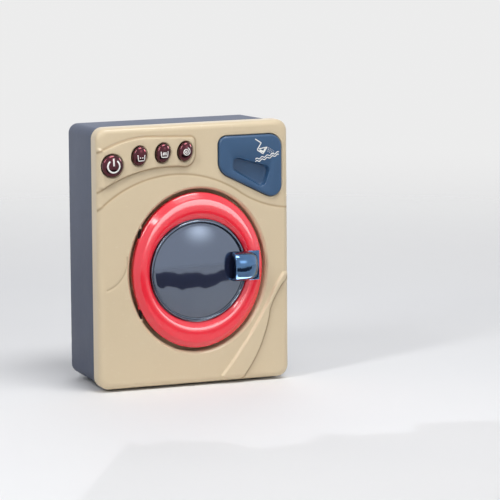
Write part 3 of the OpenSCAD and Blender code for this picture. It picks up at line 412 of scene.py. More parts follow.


# Moulded plastic: faint mottling, pale specks, a fine grain, and painted shade darkening its seams
def plastic(name, shade, darker, lighter, roughness, grain=0.05, coat=0.0, paintedCreaseShade=None):
    m = moulded
    paint = Paint(name, Coat_Weight=coat, Coat_Roughness=0.06, IOR=1.49)
    mottling = paint.noise(m["mottle"], 4, 0.6)
    fine = paint.noise(m["grain"], 2)
    specks = paint.noise(m["specks"], 2)
    base = paint.mix(m["clouds"] * mottling, colour(*shade), colour(*darker))
    base = paint.mix(m["speckShare"] * paint.fade(specks, 0.62, 0.78), base, colour(*lighter))
    # painted shade: the colour turns darker where the mesh notes a seam or crease nearby
    if paintedCreaseShade:
        shadeMask = paint.node("ShaderNodeAttribute", {"attribute_name": "paintedCreaseShade"}, output="Fac")
        base = paint.mix(m["paintedShadeShare"] * shadeMask, base, colour(*paintedCreaseShade))
    paint.set(Base_Color=base, Roughness=roughness + 0.1 * (mottling - 0.5) + 0.04 * fine)
    paint.bump(fine + 2.5 * paint.noise(m["ripple"], 2), grain)
    return paint.material


# Plated plastic: nearly a mirror, with the orange peel of thin plating and faint cloudy haze
def plated(name, shade, deep, roughness=0.07):
    paint = Paint(name, Metallic=1.0, Coat_Weight=0.6, Coat_Roughness=0.03)
    haze = paint.noise(60, 4)
    fine = paint.noise(900, 2)
    paint.set(Base_Color=paint.mix(paint.fade(haze, 0.35, 0.7), colour(*shade), colour(*deep)),
              Roughness=roughness + 0.08 * haze * fine)
    paint.bump(paint.noise(130, 2) + 0.15 * fine, 0.05)
    return paint.material


# radii of the window's painted shade rings, and the tint of its mirror
smoked = dict(grooveStart=(36.6, 36.9), grooveEnd=(38.2, 37.9), rim=(39.1, 39.4),
              coolMirror=(0.72, 0.84, 1, 1))


# Smoked plastic with a half mirror on it, and painted shade as dark rings at its rim and its groove
def smokedWindow():
    s = smoked
    paint = Paint("smokedWindow", Coat_Weight=0.4, Coat_Roughness=0.02, IOR=2.5,
                  Specular_Tint=s["coolMirror"])
    smoke = paint.noise(18, 3)
    swirl = paint.noise(5, 2)
    across, up = (paint.axis("X") - doorX) / mm, (paint.axis("Z") - doorZ) / mm
    radius = (across * across + up * up) ** 0.5
    # painted shade: dark rings by radius where the rim's gap and the groove would throw shade
    groove = paint.fade(radius, *s["grooveStart"]) * paint.fade(radius, *s["grooveEnd"])
    paintedGapShade = groove + paint.fade(radius, *s["rim"])
    tone = paint.mix(smoke, colour(30, 33, 54), colour(42, 48, 72))
    paint.set(Base_Color=paint.mix(paintedGapShade, tone, colour(10, 9, 18)), Roughness=0.05 + 0.05 * swirl,
              Alpha=0.88 + 0.08 * swirl)
    paint.bump(paint.noise(34, 2), 0.05)
    return paint.material


def brushedSteel(name="steel", shade=(150, 150, 152)):
    paint = Paint(name, Metallic=1.0)
    lines = paint.noise(260, 3, 0.6, paint.stretched(6, 1, 6))
    stains = paint.noise(90, 3)
    paint.set(Base_Color=paint.mix(stains, colour(*shade), colour(*[c * 0.72 for c in shade])),
              Roughness=0.24 + 0.22 * lines)
    paint.bump(lines, 0.06)
    return paint.material


def softRubber():
    paint = Paint("softRubber", IOR=1.45)
    dust = paint.noise(220, 4, 0.7)
    paint.set(Base_Color=paint.mix(dust, colour(52, 52, 56), colour(72, 71, 73)), Roughness=0.6 + 0.2 * dust)
    paint.bump(dust + 0.4 * paint.noise(1600), 0.15)
    return paint.material


def boardLacquer():
    paint = Paint("boardLacquer", Coat_Weight=0.5, Coat_Roughness=0.12)
    wave = paint.noise(60, 1)
    down = 1400 * (paint.axis("Z") + 0.004 * wave)
    across = 900 * paint.axis("X")
    tracks = paint.fade(down.sums("SINE", down), 0.55, 0.8)
    lines = tracks + paint.fade(across.sums("SINE", across), 0.8, 0.93)
    copper = lines.sums("MINIMUM", lines, 1)
    paint.set(Base_Color=paint.mix(copper, colour(24, 74, 44), colour(46, 104, 62)),
              Roughness=0.3 + 0.1 * wave)
    paint.bump(copper, 0.2, 0.00004)
    return paint.material


def printedInk():
    paint = Paint("printedInk")
    worn = paint.noise(700, 3)
    paint.set(Base_Color=paint.mix(paint.fade(worn, 0.6, 0.8), colour(240, 240, 236), colour(214, 216, 218)),
              Roughness=0.4 + 0.2 * worn)
    paint.bump(worn, 0.04)
    return paint.material


def speakerCard():
    paint = Paint("speakerCard")
    fibre = paint.noise(900, 4, 0.7)
    paint.set(Base_Color=paint.mix(fibre, colour(36, 35, 34), colour(58, 56, 53)),
              Roughness=0.8 + 0.15 * fibre)
    paint.bump(fibre, 0.3)
    return paint.material


def cellJacket():
    paint = Paint("cellJacket", Coat_Weight=0.4, Coat_Roughness=0.15)
    haze = paint.noise(120)
    copperEnd = paint.fade(paint.axis("X"), 0.009, 0.0094)
    paint.set(Base_Color=paint.mix(copperEnd, colour(46, 48, 52), colour(176, 132, 74)),
              Roughness=0.3 + 0.1 * haze)
    paint.bump(haze, 0.04)
    return paint.material


# Each plastic has its shade, a darker and a lighter one, its roughness and its grain
materials = {
    # the cream plastic's last colour is painted shade for the creases of the front shell
    "cream_plastic": plastic("creamPlastic", (216, 198, 166), (207, 188, 154), (224, 210, 184), 0.36,
                             coat=0.2, paintedCreaseShade=(140, 112, 74)),
    "navy_plastic": plastic("navyPlastic", (33, 47, 74), (25, 37, 62), (48, 62, 90), 0.42, 0.16),
    "red_plastic": plastic("coralPlastic", (206, 26, 44), (190, 18, 36), (222, 50, 68), 0.16, 0.02, 0.9),
    "smoked_window": smokedWindow(),
    "blue_chrome": plated("blueChrome", (80, 116, 152), (52, 84, 122)),
    "maroon_chrome": plated("maroonChrome", (82, 20, 32), (56, 10, 20)),
    "blue_plastic": plastic("drawerPlastic", (46, 82, 118), (38, 72, 108), (68, 102, 138), 0.3, 0.06, 0.2),
    "grey_plastic": plastic("greyPlastic", (150, 152, 154), (136, 138, 141), (170, 171, 172), 0.36, 0.06),
    "white_plastic": plastic("whitePlastic", (226, 224, 216), (214, 211, 202), (236, 235, 230), 0.4, 0.08),
    "black_plastic": plastic("blackPlastic", (30, 30, 32), (22, 22, 24), (48, 48, 50), 0.4, 0.08),
    "rubber": softRubber(),
    "steel": brushedSteel(),
    "brass": brushedSteel("brass", (190, 152, 84)),
    "blackened": brushedSteel("blackenedSteel", (46, 40, 38)),
    "board": boardLacquer(),
    "lamp": plastic("lampLens", (240, 232, 190), (232, 222, 172), (250, 246, 224), 0.12, 0.02, 0.6),
    "speaker_card": speakerCard(),
    "cell": cellJacket(),
    "wire": plastic("wireInsulation", (176, 34, 34), (150, 26, 28), (202, 70, 66), 0.38, 0.06),
    "ink": printedInk(),
}
print("materials made:", len(materials))

for subpart in frame["record"]["subparts"]:
    carried = frame["nodes"][subpart["node"]]
    carried.data.materials.clear()
    carried.data.materials.append(materials[subpart["material_slot"]])
frame["nodes"]["hinge_pins"].data.materials[0] = materials["blackened"]

face = dict(cell=0.62, edge=5, edgeSteps=10, corner=9, cornerShrink=0.6, depth=14, backStep=0.4,
            backInset=0.3, wall=2.2, arcStep=0.8, arcEdge=1.5, podRise=1.7, podEdge=1.9, foldRise=2.1,
            foldEdge=1.5, edgeOut=0.5, seamDepth=0.6, seamWidth=0.75, creaseDepth=0.35, creaseWidth=1.1,
            shadeDepth=3, recessGap=3, recessDepth=12, rim=2, rimFullness=1.7, floorBack=14.2, mouth=39.5,
            doorW=107.3, doorH=121.7, slack=0.4, collar=1.6, collarBack=8.1, screwIn=9.5,
            drawerCorners=[(61.5, 63.2, 8.5), (60, 93.3, 10), (24.3, 96.8, 6.5), (30.5, 83.5, 12.7)])
boss = dict(front=1, case=(20, 3.4), housing=(8.7, 2.8), board=(12.8, 2.6),
            housingAt=[(11.5, 92), (29, 62.6)], boardAt=[(-59.4, 97.5), (-38.6, 77.6), (-19.6, 77.6)],
            postAt=40, postR=3.6, posts=(13.5, 54))
well = dict(powerR=9, halfW=6.25, halfH=7.85,
            mouth=[(0.7, -4), (0.69, -1.5), (0.35, -1.15), (0, -0.8), (0, 12)],
            drawerMouth=[(0.7, -3), (0.69, 0.75), (0.35, 0.95), (0.1, 1.2), (0, 1.6), (0, 10)],
            floor=(10, 16), lampZ=-52, lampR=2.55,
            latchX=(41.8, 50), latchDepth=(11, 15), latchZ=(-6.2, 10.2))
hinge = dict(x=-47.5, depth=2.4, ringZ=28.29, ringGap=0.8, wallZ=34.79, wallGap=0.4, hold=9, bossR=1.9,
             bossBack=0.35)
powerAt = (-70.3, 85.5)
smallAt = [(-48.3, 92), (-29, 93.3), (-10.7, 93.6)]
buttonLean = 13
screwHeights = (caseFoot + 9, 112, caseTop - face["screwIn"])
screwsAt = [(caseMidX + side * (caseW / 2 - face["screwIn"]), overFloor(height))
            for side in (-1, 1) for height in screwHeights]

arcLine = arc3((-86, 46.5), (-24.8, 75.7), (33.1, 60.8), 48) + arc3((33.1, 60.8), (50.5, 51.1), (84, 45), 24)
aboveArc = arcLine + [(84, 130), (-86, 130)]
podOutline = (arc3((-86, 61.5), (-48, 79.2), (-10.7, 81.4), 24)
              + arc3((-10.7, 81.4), (-4.3, 84), (-1.7, 90.4), 10)
              + arc3((-1.7, 101), (-2.9, 103.8), (-5.7, 105), 8)
              + arc3((-40, 106.4), (-65.3, 102.5), (-86, 93), 24))
foldRight = arc3((84, -1), (67, -19.5), (59.8, -34.4), 12) + arc3((59.8, -34.4), (54, -57), (33, -91), 16)
foldLeft = arc3((84, 6), (67, -10.5), (59.8, -23), 12) + arc3((59.8, -23), (45.4, -48), (12, -91), 16)
foldOutline = foldLeft + foldRight[::-1]
leftCrease = arc3((-58.4, 14), (-62.2, -1.4), (-75, -11), 12)


# How far the face stands out of its plane, in millimetres
def faceRise(points):
    f = face
    rise = -f["arcStep"] * smoothStep(insideDistance(points, aboveArc) + f["edgeOut"], f["arcEdge"])
    pod = smoothStep(insideDistance(points, podOutline) + f["edgeOut"], f["podEdge"])
    rise = rise + (f["podRise"] - rise) * pod
    fold = smoothStep(insideDistance(points, foldOutline) + f["edgeOut"], f["foldEdge"])
    rise = rise + (f["foldRise"] - rise) * fold
    rise -= f["creaseDepth"] * np.exp(-(lineDistance(points, leftCrease) / f["creaseWidth"]) ** 2)
    return rise - f["seamDepth"] * np.exp(-(lineDistance(points, arcLine) / f["seamWidth"]) ** 2)


# Notes on the mesh how near each point is to a seam, for the painted shade that darkens the colour there
def paintCreaseShade(piece):
    x, depth, z = ((coordinates(piece) - np.array(at(0, 0, 0))) / mm).T
    points = np.stack([x, z], 1)
    away = np.minimum(lineDistance(points, arcLine), lineDistance(points, podOutline, closed=True))
    away = np.minimum(away, lineDistance(points, foldRight))
    away = np.minimum(away, 0.4 + lineDistance(points, leftCrease))
    shade = np.exp(-(away / face["seamWidth"]) ** 2) * (depth < face["shadeDepth"])
    piece.data.attributes.new("paintedCreaseShade", "FLOAT", "POINT").data.foreach_set("value", shade)


# Half sizes of the whole face and of its flat middle, and the flat middle's corner radius
def faceSizes():
    halfW, halfH = caseW / 2, (caseTop - caseFoot) / 2
    innerR = face["corner"] - face["cornerShrink"] * face["edge"]
    return halfW, halfH, halfW - face["edge"], halfH - face["edge"], innerR


# The rounded edge and the side behind it, ring by ring, from the points on the flat middle's border
def edgeRings(u, v, rise):
    halfW, halfH, innerW, innerH, innerR = faceSizes()
    coreU, coreV = innerW - innerR, innerH - innerR
    atCorner = (np.abs(u) > coreU) & (np.abs(v) > coreV)
    atSide = np.abs(u) > innerW - 1e-6
    rings = []
    for share in np.arange(face["edgeSteps"] + 1) / face["edgeSteps"]:
        angle = math.pi / 2 * share
        inset = face["edge"] * (1 - math.sin(angle))
        radius = face["corner"] - face["cornerShrink"] * inset
        coreW, coreH = halfW - inset - radius, halfH - inset - radius
        x = np.where(atCorner, np.sign(u) * (coreW + radius * (np.abs(u) - coreU) / innerR),
                     np.where(atSide, np.sign(u) * (halfW - inset), u * coreW / coreU))
        z = np.where(atCorner, np.sign(v) * (coreH + radius * (np.abs(v) - coreV) / innerR),
                     np.where(atSide, v * coreH / coreV, np.sign(v) * (halfH - inset)))
        depth = face["edge"] * (1 - math.cos(angle)) - rise * (1 - share)
        rings.append(placesOf(x + caseMidX, depth, z + caseMidZ))
    last, back = rings[-1].copy(), rings[-1].copy()
    last[:, 1] = faceY + (face["depth"] - face["backStep"]) * mm
    back[:, 1] = faceY + face["depth"] * mm
    middle = np.array([doorX + caseMidX * mm, 0, doorZ + caseMidZ * mm])
    shrink = np.array([1 - face["backInset"] / halfW, 1, 1 - face["backInset"] / halfH])
    return rings + [last, (back - middle) * shrink + middle]


def makeFaceBody():
    innerW, innerH, innerR = faceSizes()[2:]
    columns, rows = round(2 * innerW / face["cell"]), round(2 * innerH / face["cell"])
    clearSelection()
    bpy.ops.mesh.primitive_grid_add(x_subdivisions=columns, y_subdivisions=rows, size=2)
    piece = named("front_shell_skin")
    flat = coordinates(piece)
    u, v = flat[:, 0] * innerW, flat[:, 1] * innerH
    # the grid's square corners are drawn in to the face's round ones
    cu = np.clip(np.abs(u) - innerW + innerR, 0, None) / innerR
    cv = np.clip(np.abs(v) - innerH + innerR, 0, None) / innerR
    nu = np.where(cu > 0, np.sign(u) * (innerW - innerR + innerR * cu * np.sqrt(1 - cv ** 2 / 2)), u)
    nv = np.where(cv > 0, np.sign(v) * (innerH - innerR + innerR * cv * np.sqrt(1 - cu ** 2 / 2)), v)
    rise = faceRise(np.stack([nu + caseMidX, nv + caseMidZ], 1))
    piece.data.vertices.foreach_set("co", placesOf(nu + caseMidX, -rise, nv + caseMidZ).ravel())
    piece.data.update()
    border = (np.abs(flat[:, :2]) > 1 - 1e-6).any(1)
    rings = edgeRings(nu[border], nv[border], rise[border])
    editing(piece)
    bpy.ops.mesh.select_all(action="SELECT")
    bpy.ops.mesh.region_to_loop()
    growRings(piece, rings)
    bpy.ops.mesh.edge_face_add()
    doneEditing()
    fixNormals(piece)
    return piece


# Mouth of the door recess: its chamfer is round at a fullness of 1 and straight at 2
def recessMouth():
    r, deep, fullness = face["rim"], face["recessDepth"], face["rimFullness"]
    chamfer = [(r * (1 - math.sin(a) ** fullness), r * (1 - math.cos(a) ** fullness))
               for a in np.linspace(0, math.pi / 2, 7)[1:]]
    floor = [(0, deep - 0.8), (-0.2, deep - 0.3), (-0.7, deep)]
    return [(r + 0.02, -3), (r + 0.01, -0.001)] + chamfer + floor


def makeFrontShell():
    shell = makeFaceBody()
    wall, deep = face["wall"], face["depth"]
    halfW, halfH = caseW / 2 - wall, (caseTop - caseFoot) / 2 - wall
    recessA, recessB = face["doorW"] / 2 + face["recessGap"], face["doorH"] / 2 + face["recessGap"]
    inside = band(boxCorners(caseMidX, caseMidZ, halfW, halfH, face["corner"] - wall))
    cavity = prism("cavity", inside, (wall + face["arcStep"], deep + 1))
    tubOutline = oval(recessA + wall, recessB + wall)
    collarOutline = band(face["drawerCorners"], face["slack"] + face["collar"])
    carve(cavity, "DIFFERENCE", prism("tub", tubOutline, (1, deep + 2)),
          prism("collar", collarOutline, (1, face["collarBack"])))
    for spots, kind in ((screwsAt, "case"), (boss["housingAt"], "housing"), (boss["boardAt"], "board")):
        back, radius = boss[kind]
        for x, z in spots:
            carve(cavity, "DIFFERENCE", rod("boss", x, z, (boss["front"], back), radius, 20))
    carve(shell, "DIFFERENCE", cavity)
    tubBack = prism("tubBack", tubOutline, (deep - 1, face["floorBack"]))
    add(tubBack, *[rod("post", sx * boss["postAt"], sz * boss["postAt"], boss["posts"], boss["postR"], 24)
                   for sx in (-1, 1) for sz in (-1, 1)])
    add(shell, tubBack)
    cuts = [flared("recess", lambda grow: oval(recessA + grow, recessB + grow, 160), recessMouth()),
            flared("powerWell", lambda grow: circleAt(*powerAt, well["powerR"] + grow, 64), well["mouth"])]
    for x, z in smallAt:
        cuts.append(flared("smallWell", lambda grow: oval(
            well["halfW"] + grow, well["halfH"] + grow, 64, x, z, -buttonLean), well["mouth"]))
    cuts.append(flared("drawerHole", lambda grow: band(face["drawerCorners"], face["slack"] + grow),
                       well["drawerMouth"]))
    cut(shell, *cuts)
    cut(shell, rod("mouth", 0, 0, well["floor"], face["mouth"], 128),
        rod("lampHole", 0, well["lampZ"], well["floor"], well["lampR"]),
        block("latchHole", well["latchX"], well["latchDepth"], well["latchZ"]))
    hinges, hingeDepth = [], hinge["depth"] + hinge["bossBack"]
    for side in (-1, 1):
        ends = sorted(side * (hinge["wallZ"] + reach) for reach in (hinge["wallGap"], hinge["hold"]))
        hinges.append(upright("hingeBoss", hinge["x"], hingeDepth, ends, hinge["bossR"]))
    add(shell, *hinges)
    paintCreaseShade(shell)
    finishPiece(shell, "case", "cream_plastic", "front_shell", angle=35)


makeFrontShell()
print("front shell made")

ring = dict(wall=2, innerA=42.4, innerB=44.3, crownIn=5.3, bezel=40.4, flange=43.45, rimDepth=1.2, front=1.6,
            back=7, seatA=43.7, seatB=45.4, count=160, knuckleR=1.9, screwReach=46.3, screwBoss=(-1.2, 3.4),
            screwR=2.5, screwTurns=(55, 125, 235, 305))
latch = dict(boxX=(42.2, 50.2), boxDepth=(-1.5, 6.9), boxZ=(-9, 15.4), slotX=(43.6, 49.4), slotDepth=(-6, 9),
             slotZ=(-5.4, 12.1))


def makeDoorRing():
    a, b, n = face["doorW"] / 2, face["doorH"] / 2, ring["count"]
    crownA, crownB, innerA, innerB = a - ring["crownIn"], b - ring["crownIn"], ring["innerA"], ring["innerB"]

    def inset(amount):
        return oval(a - amount, b - amount, n)

    def crown(share):
        return oval(crownA + (innerA - crownA) * share, crownB + (innerB - crownB) * share, n)

    def inner(share):
        return oval(innerA + (ring["bezel"] - innerA) * share, innerB + (ring["bezel"] - innerB) * share, n)

    # the outer bevel stays inside the line on which the open door clears its recess
    bevel = [(0.4, ring["back"]), (0.1, 6.9), (0, 6.6), (0, 1.6), (0.06, 0.9), (0.3, 0.42), (1.2, -0.2),
             (2.4, -1.02), (3.6, -1.84), (4.3, -2.32), (4.7, -2.58), (5, -2.7)]
    over = [(0, -2.78), (0.08, -2.9), (0.18, -3.02), (0.32, -3.14), (0.46, -3.19), (0.6, -3.18), (0.75, -3.1),
            (0.88, -2.96), (0.96, -2.8), (1, -2.62)]
    down = [(0.04, -2.42), (0.12, -2.3), (0.3, -2.0), (0.6, -1.4), (0.85, -0.85), (0.96, -0.6), (1, -0.3),
            (1, ring["rimDepth"])]
    outline = [(shape(share), depth) for shape, steps in ((inset, bevel), (crown, over), (inner, down))
               for share, depth in steps]
    outline += [(oval(r, r, n), depth) for r, depth in (
        (ring["flange"], ring["rimDepth"]), (ring["flange"], 6.8), (ring["seatA"], ring["back"]),
        (ring["seatB"], ring["back"]), (ring["seatB"], ring["front"]))]
    outline += [(inset(ring["wall"]), depth) for depth in (ring["front"], ring["back"])]
    piece = loft("door_ring_moulding", [places(points, depth) for points, depth in outline], closed=True)
    extras = []
    for side in (-1, 1):
        ends = sorted(side * (hinge["ringZ"] - reach) for reach in (hinge["hold"], hinge["ringGap"]))
        extras.append(upright("knuckle", hinge["x"], hinge["depth"], ends, ring["knuckleR"]))
    for turn in map(math.radians, ring["screwTurns"]):
        x, z = ring["screwReach"] * math.cos(turn), ring["screwReach"] * math.sin(turn)
        extras.append(rod("screwBoss", x, z, ring["screwBoss"], ring["screwR"], 24))
    extras.append(block("latchBox", latch["boxX"], latch["boxDepth"], latch["boxZ"]))
    add(piece, *extras)
    cut(piece, block("latchSlot", latch["slotX"], latch["slotDepth"], latch["slotZ"]),
        rod("windowRoom", 0, 0, (ring["rimDepth"] + 0.001, 9), ring["flange"], 128))
    finishPiece(piece, "door", "red_plastic", "door_ring", angle=38)


makeDoorRing()
print("door ring made")

window = dict(radius=39.6, rimFront=-2.2, rise=4.6, domeIn=2.9, domeFront=0.85, bulge=0.55, wall=1.8,
              flange=43.4, flangeBack=3.4)


def makeWindow():
    w = window
    r, front, seat = w["radius"], w["rimFront"], ring["rimDepth"] + 0.01
    outline = [(w["flange"], w["flangeBack"]), (w["flange"], seat), (r, seat), (r, front + 0.7),
               (r - 0.2, front + 0.25), (r - 0.6, front), (r - 1.3, front), (r - 1.6, front + 0.3),
               (r - 1.8, front + 1.1), (r - 2.4, front + 1.2), (r - w["domeIn"], front + w["domeFront"])]
    edgeHeight = math.sqrt(1 - w["bulge"])
    for share in np.linspace(0.94, 0.0, 22):
        height = (math.sqrt(1 - w["bulge"] * share ** 2) - edgeHeight) / (1 - edgeHeight)
        outline.append((max((r - w["domeIn"]) * share, 0.25),
                        front + w["domeFront"] - (w["rise"] + w["domeFront"]) * height))
    outline += [(radius, depth + w["wall"]) for radius, depth in reversed(outline[10:])]
    outline.append((r - 3.1, w["flangeBack"]))
    piece = loft("window_dome", [places(circleAt(0, 0, radius, 128), depth) for radius, depth in outline],
                 closed=True)
    finishPiece(piece, "door", "smoked_window", "door_window")


makeWindow()
print("window made")


# A raised line laid on a surface: its path is drawn as (x, z) and depthAt gives the surface under it
def inlay(name, path, width, depthAt, closed=False, raised=0.12, sunk=0.3):
    path = [np.array(p, float) for p in path]
    rings = []
    for i, point in enumerate(path):
        before = path[i - 1] if i or closed else point
        after = path[(i + 1) % len(path)] if i + 1 < len(path) or closed else point
        run = (after - before) / max(np.hypot(*(after - before)), 1e-9)
        side = np.array([-run[1], run[0]]) * width / 2
        ring = []
        for across, lift in ((-1, sunk), (1, sunk), (1, -0.4 * raised), (0.8, -raised), (-0.8, -raised),
                             (-1, -0.4 * raised)):
            x, z = point + across * side
            ring.append(at(x, depthAt(x, z) + lift, z))
        rings.append(ring)
    return loft(name, rings, closed)


def dense(points, step=0.45):
    path = []
    for a, b in zip(points, points[1:]):
        count = max(1, round(math.hypot(b[0] - a[0], b[1] - a[1]) / step))
        path += [(a[0] + (b[0] - a[0]) * i / count, a[1] + (b[1] - a[1]) * i / count) for i in range(count)]
    return path + [points[-1]]


handle = dict(left=26, right=48.9, middle=2, half=11.5, lip=-14.3, front=-15, lipRun=4, fall=33, end=47.6,
              fallPower=2.2, fallShape=0.62, wall=1.7, roomEnd=40.5, backLeft=-5.3, backRight=-4.2,
              plateLeft=40, plateFront=-5.65, plateBack=-3.65, creaseAt=-1.6, crease=0.12, creaseWidth=1.5,
              creaseLeft=27.5, creaseRun=18, round=2.35, taper=0.34, firstInsets=(0.6, 0.2, 0.03),
              pinX=46.4, pinDepth=1.5, pinR=1.25, pinHole=(-20, 24), eyeR=2.6, tailHalf=7, tailEnd=16.6)


def within(value, high=1):
    return min(max(value, 0), high)


# One cross-section of the hood: a full arch with a shallow crease along it
def hoodSection(x, inset=0, opening=False, count=32):
    h = handle
    share = within((x - h["left"]) / (h["plateLeft"] - h["left"]))
    back = h["backLeft"] + (h["backRight"] - h["backLeft"]) * share
    fall = within((x - h["fall"]) / (h["end"] - h["fall"]), 0.998)
    lift = within((x - h["left"]) / h["lipRun"])
    front = h["lip"] + (h["front"] - h["lip"]) * (1 - (1 - lift) ** 2)
    front = back + (front - back) * (1 - fall ** h["fallPower"]) ** h["fallShape"]
    half = h["half"] * (1 - h["taper"] * fall ** 3) - inset
    crease = h["crease"] * math.sin(math.pi * within((x - h["creaseLeft"]) / h["creaseRun"]))
    if opening:
        back = -1
    ring = []
    for i in range(count + 1):
        angle = math.pi * (i / count - 0.5)
        z = half * math.copysign(abs(math.sin(angle)) ** (2 / h["round"]), angle)
        out = abs(math.cos(angle)) ** (2 / h["round"])
        groove = crease * math.exp(-((z - h["creaseAt"]) / h["creaseWidth"]) ** 2)
        ring.append(at(x, back + (front + inset - back) * out + groove, h["middle"] + z))
    return ring


def makeHandle():
    h = handle
    left, fall, end, pinX = h["left"], h["fall"], h["end"], h["pinX"]
    stations = [left + 0.001, left + 0.25, left + 0.7] + list(np.linspace(left + 1.4, fall, 10))
    stations += [fall + (end - fall) * math.sin(a) for a in np.linspace(0.08, math.pi / 2, 20)]
    insets = list(h["firstInsets"]) + [0] * (len(stations) - 3)
    hood = loft("door_handle_grip", [hoodSection(x, inset) for x, inset in zip(stations, insets)])
    cut(hood, loft("room", [hoodSection(x, h["wall"], True)
                            for x in np.linspace(left - 1.5, h["roomEnd"], 12)]))
    plate = block("plate", (h["plateLeft"], h["right"]), (h["plateFront"], h["plateBack"]),
                  (h["middle"] - h["half"], h["middle"] + h["half"]))
    softEdges(plate, 0.6)
    low, high = h["middle"] - h["tailHalf"], h["middle"] + h["tailHalf"]
    tail = block("tail", (pinX - 1.3, pinX + 1.3), (h["plateBack"] - 1, h["tailEnd"]), (low, high))
    hook = block("hook", (pinX - 1.2, pinX + 2.1), (h["tailEnd"] - 2, h["tailEnd"] - 0.01),
                 (low + 0.01, high - 0.01))
    eye = upright("eye", pinX, h["pinDepth"], (low, high), h["eyeR"])
    carve(hood, "UNION", plate, tail, hook, eye)
    cut(hood, upright("pinHole", pinX, h["pinDepth"], h["pinHole"], h["pinR"]))
    finishPiece(hood, "handle", "blue_chrome", "door_handle")


makeHandle()
print("handle made")

button = dict(powerR=8.6, halfW=5.85, halfH=7.45, rim=-2.1, proud=5.5, roundness=2.3, flange=1.3,
              flangeAt=(3.4, 4.8), flangeFlat=7.1, stemR=2, stemEnd=7.9, markRing=4.8, markWidth=1.25,
              markGap=36, barTop=5.9, barFoot=0.2, iconLine=0.75, iconRaised=0.09,
              iconAt=[(0.5, -0.9), (0.15, -0.4), (-0.2, 0.1)],
              domeSteps=(0.9995, 0.995, 0.98, 0.95, 0.9, 0.83, 0.74, 0.63, 0.5, 0.36, 0.2, 0.03))


# Depth of a cap's dome at a share of the way out from its middle
def capDepth(share):
    b = button
    return b["rim"] - (b["proud"] + b["rim"]) * (1 - min(share, 1) ** b["roundness"]) ** (1 / b["roundness"])


def powerDepth(x, z):
    return capDepth(math.hypot(x - powerAt[0], z - powerAt[1]) / button["powerR"])


def smallDepth(i):
    turn = math.radians(-buttonLean)

    def depthAt(x, z):
        dx, dz = x - smallAt[i][0], z - smallAt[i][1]
        u = dx * math.cos(turn) + dz * math.sin(turn)
        v = dz * math.cos(turn) - dx * math.sin(turn)
        return capDepth(math.hypot(u / button["halfW"], v / button["halfH"]))
    return depthAt


# A domed cap with its flange and stem; the outline is drawn at a share of its full size
def makeCap(name, spot, outline, flange):
    b = button
    front, back = b["flangeAt"]
    steps = [(0.55, front + 0.7), (0.999, front + 0.5), (1, b["rim"] + 0.3)]
    steps += [(share, capDepth(share)) for share in b["domeSteps"]]
    cap = loft(name + "_cap", [places(outline(share), depth) for share, depth in steps])
    carve(cap, "UNION", flange, rod("stem", *spot, (back - 0.5, b["stemEnd"]), b["stemR"]))
    finishPiece(cap, name + "_button", "maroon_chrome", name + "_button")


def makePowerButton():
    b = button
    x, z = powerAt
    flange = rod("flange", x, z, b["flangeAt"], b["powerR"] + b["flange"], 72)
    cut(flange, block("flat", (x - 14, x - b["flangeFlat"]), (2, 6), (z - 14, z + 14)))
    makeCap("power", powerAt, lambda share: circleAt(x, z, b["powerR"] * share, 72), flange)
    gap = math.radians(b["markGap"])
    turns = [math.pi / 2 + gap + (2 * math.pi - 2 * gap) * i / 60 for i in range(61)]
    arc = [(x + b["markRing"] * math.cos(a), z + b["markRing"] * math.sin(a)) for a in turns]
    bar = dense([(x, z + b["barTop"]), (x, z + b["barFoot"])])
    lines = [inlay("line", path, b["markWidth"], powerDepth) for path in (arc, bar)]
    finishPiece(joined("power_mark", lines), "power_button", "ink")


# Plain pictograms for the three programmes: a tub with water, a tub with a shower, and a spinning coil
def pictogram(i, x, z):
    tub = [(-2.9, 2.0), (-2.5, -2.0), (-2.0, -2.5), (2.0, -2.5), (2.5, -2.0), (2.9, 2.0)]
    coil = [(0.23 * t * math.cos(t), 0.23 * t * math.sin(t)) for t in np.linspace(0.4, 4.4 * math.pi, 60)]
    drawn = ([tub, [(-1.4, -0.3), (-0.4, -0.3)], [(0.4, -0.3), (1.4, -0.3)]],
             [tub, [(-1, 1.3), (-1.2, -0.9)], [(0, 1.3), (0, -0.9)], [(1, 1.3), (1.2, -0.9)]],
             [coil])[i]
    return [dense([(x + u, z + v) for u, v in line]) for line in drawn]


def smallOutline(i, share=1, rim=0):
    x, z = smallAt[i]
    return oval(button["halfW"] * share + rim, button["halfH"] * share + rim, 64, x, z, -buttonLean)


def makeSmallButtons():
    b = button
    for i, name in enumerate(("wash", "rinse", "spin")):
        flange = prism("flange", smallOutline(i, rim=b["flange"]), b["flangeAt"])
        makeCap(name, smallAt[i], lambda share: smallOutline(i, share), flange)
        x, z = np.add(smallAt[i], b["iconAt"][i])
        lines = [inlay("line", path, b["iconLine"], smallDepth(i), raised=b["iconRaised"])
                 for path in pictogram(i, x, z)]
        finishPiece(joined(name + "_mark", lines), name + "_button", "ink")


makePowerButton()
makeSmallButtons()
print("buttons made")

drawer = dict(back=6.5, front=-1.5, round=1.7, trayX=(30, 66), trayZ=(72, 97), trayEnd=40.5, trayWall=1.5,
              gripCorners=[(52.8, 67.3, 3.8), (55, 75, 4.2), (33.3, 82, 4), (33.5, 79.5, 4.2)], gripFloor=4)
powder = dict(scoop=[(47.6, 100.2), (52.6, 96.9), (49.8, 92.6), (49.4, 91.4), (54.1, 88.3), (57.5, 93.4),
                     (50.6, 92.3)],
              heap=[(51.2, 91.2), (54.6, 89.8), (56.2, 92.4)], line=0.75, heapLine=1.5, grainLine=0.5,
              grainX=58.9, grainZ=92.6, grainHalf=0.28, waveX=47.7, waveZ=82.4, waveRun=19.6, waveClimb=4.7,
              waveHeight=0.62, waveTurns=4.5, wavesApart=1.9, waveLine=0.62)


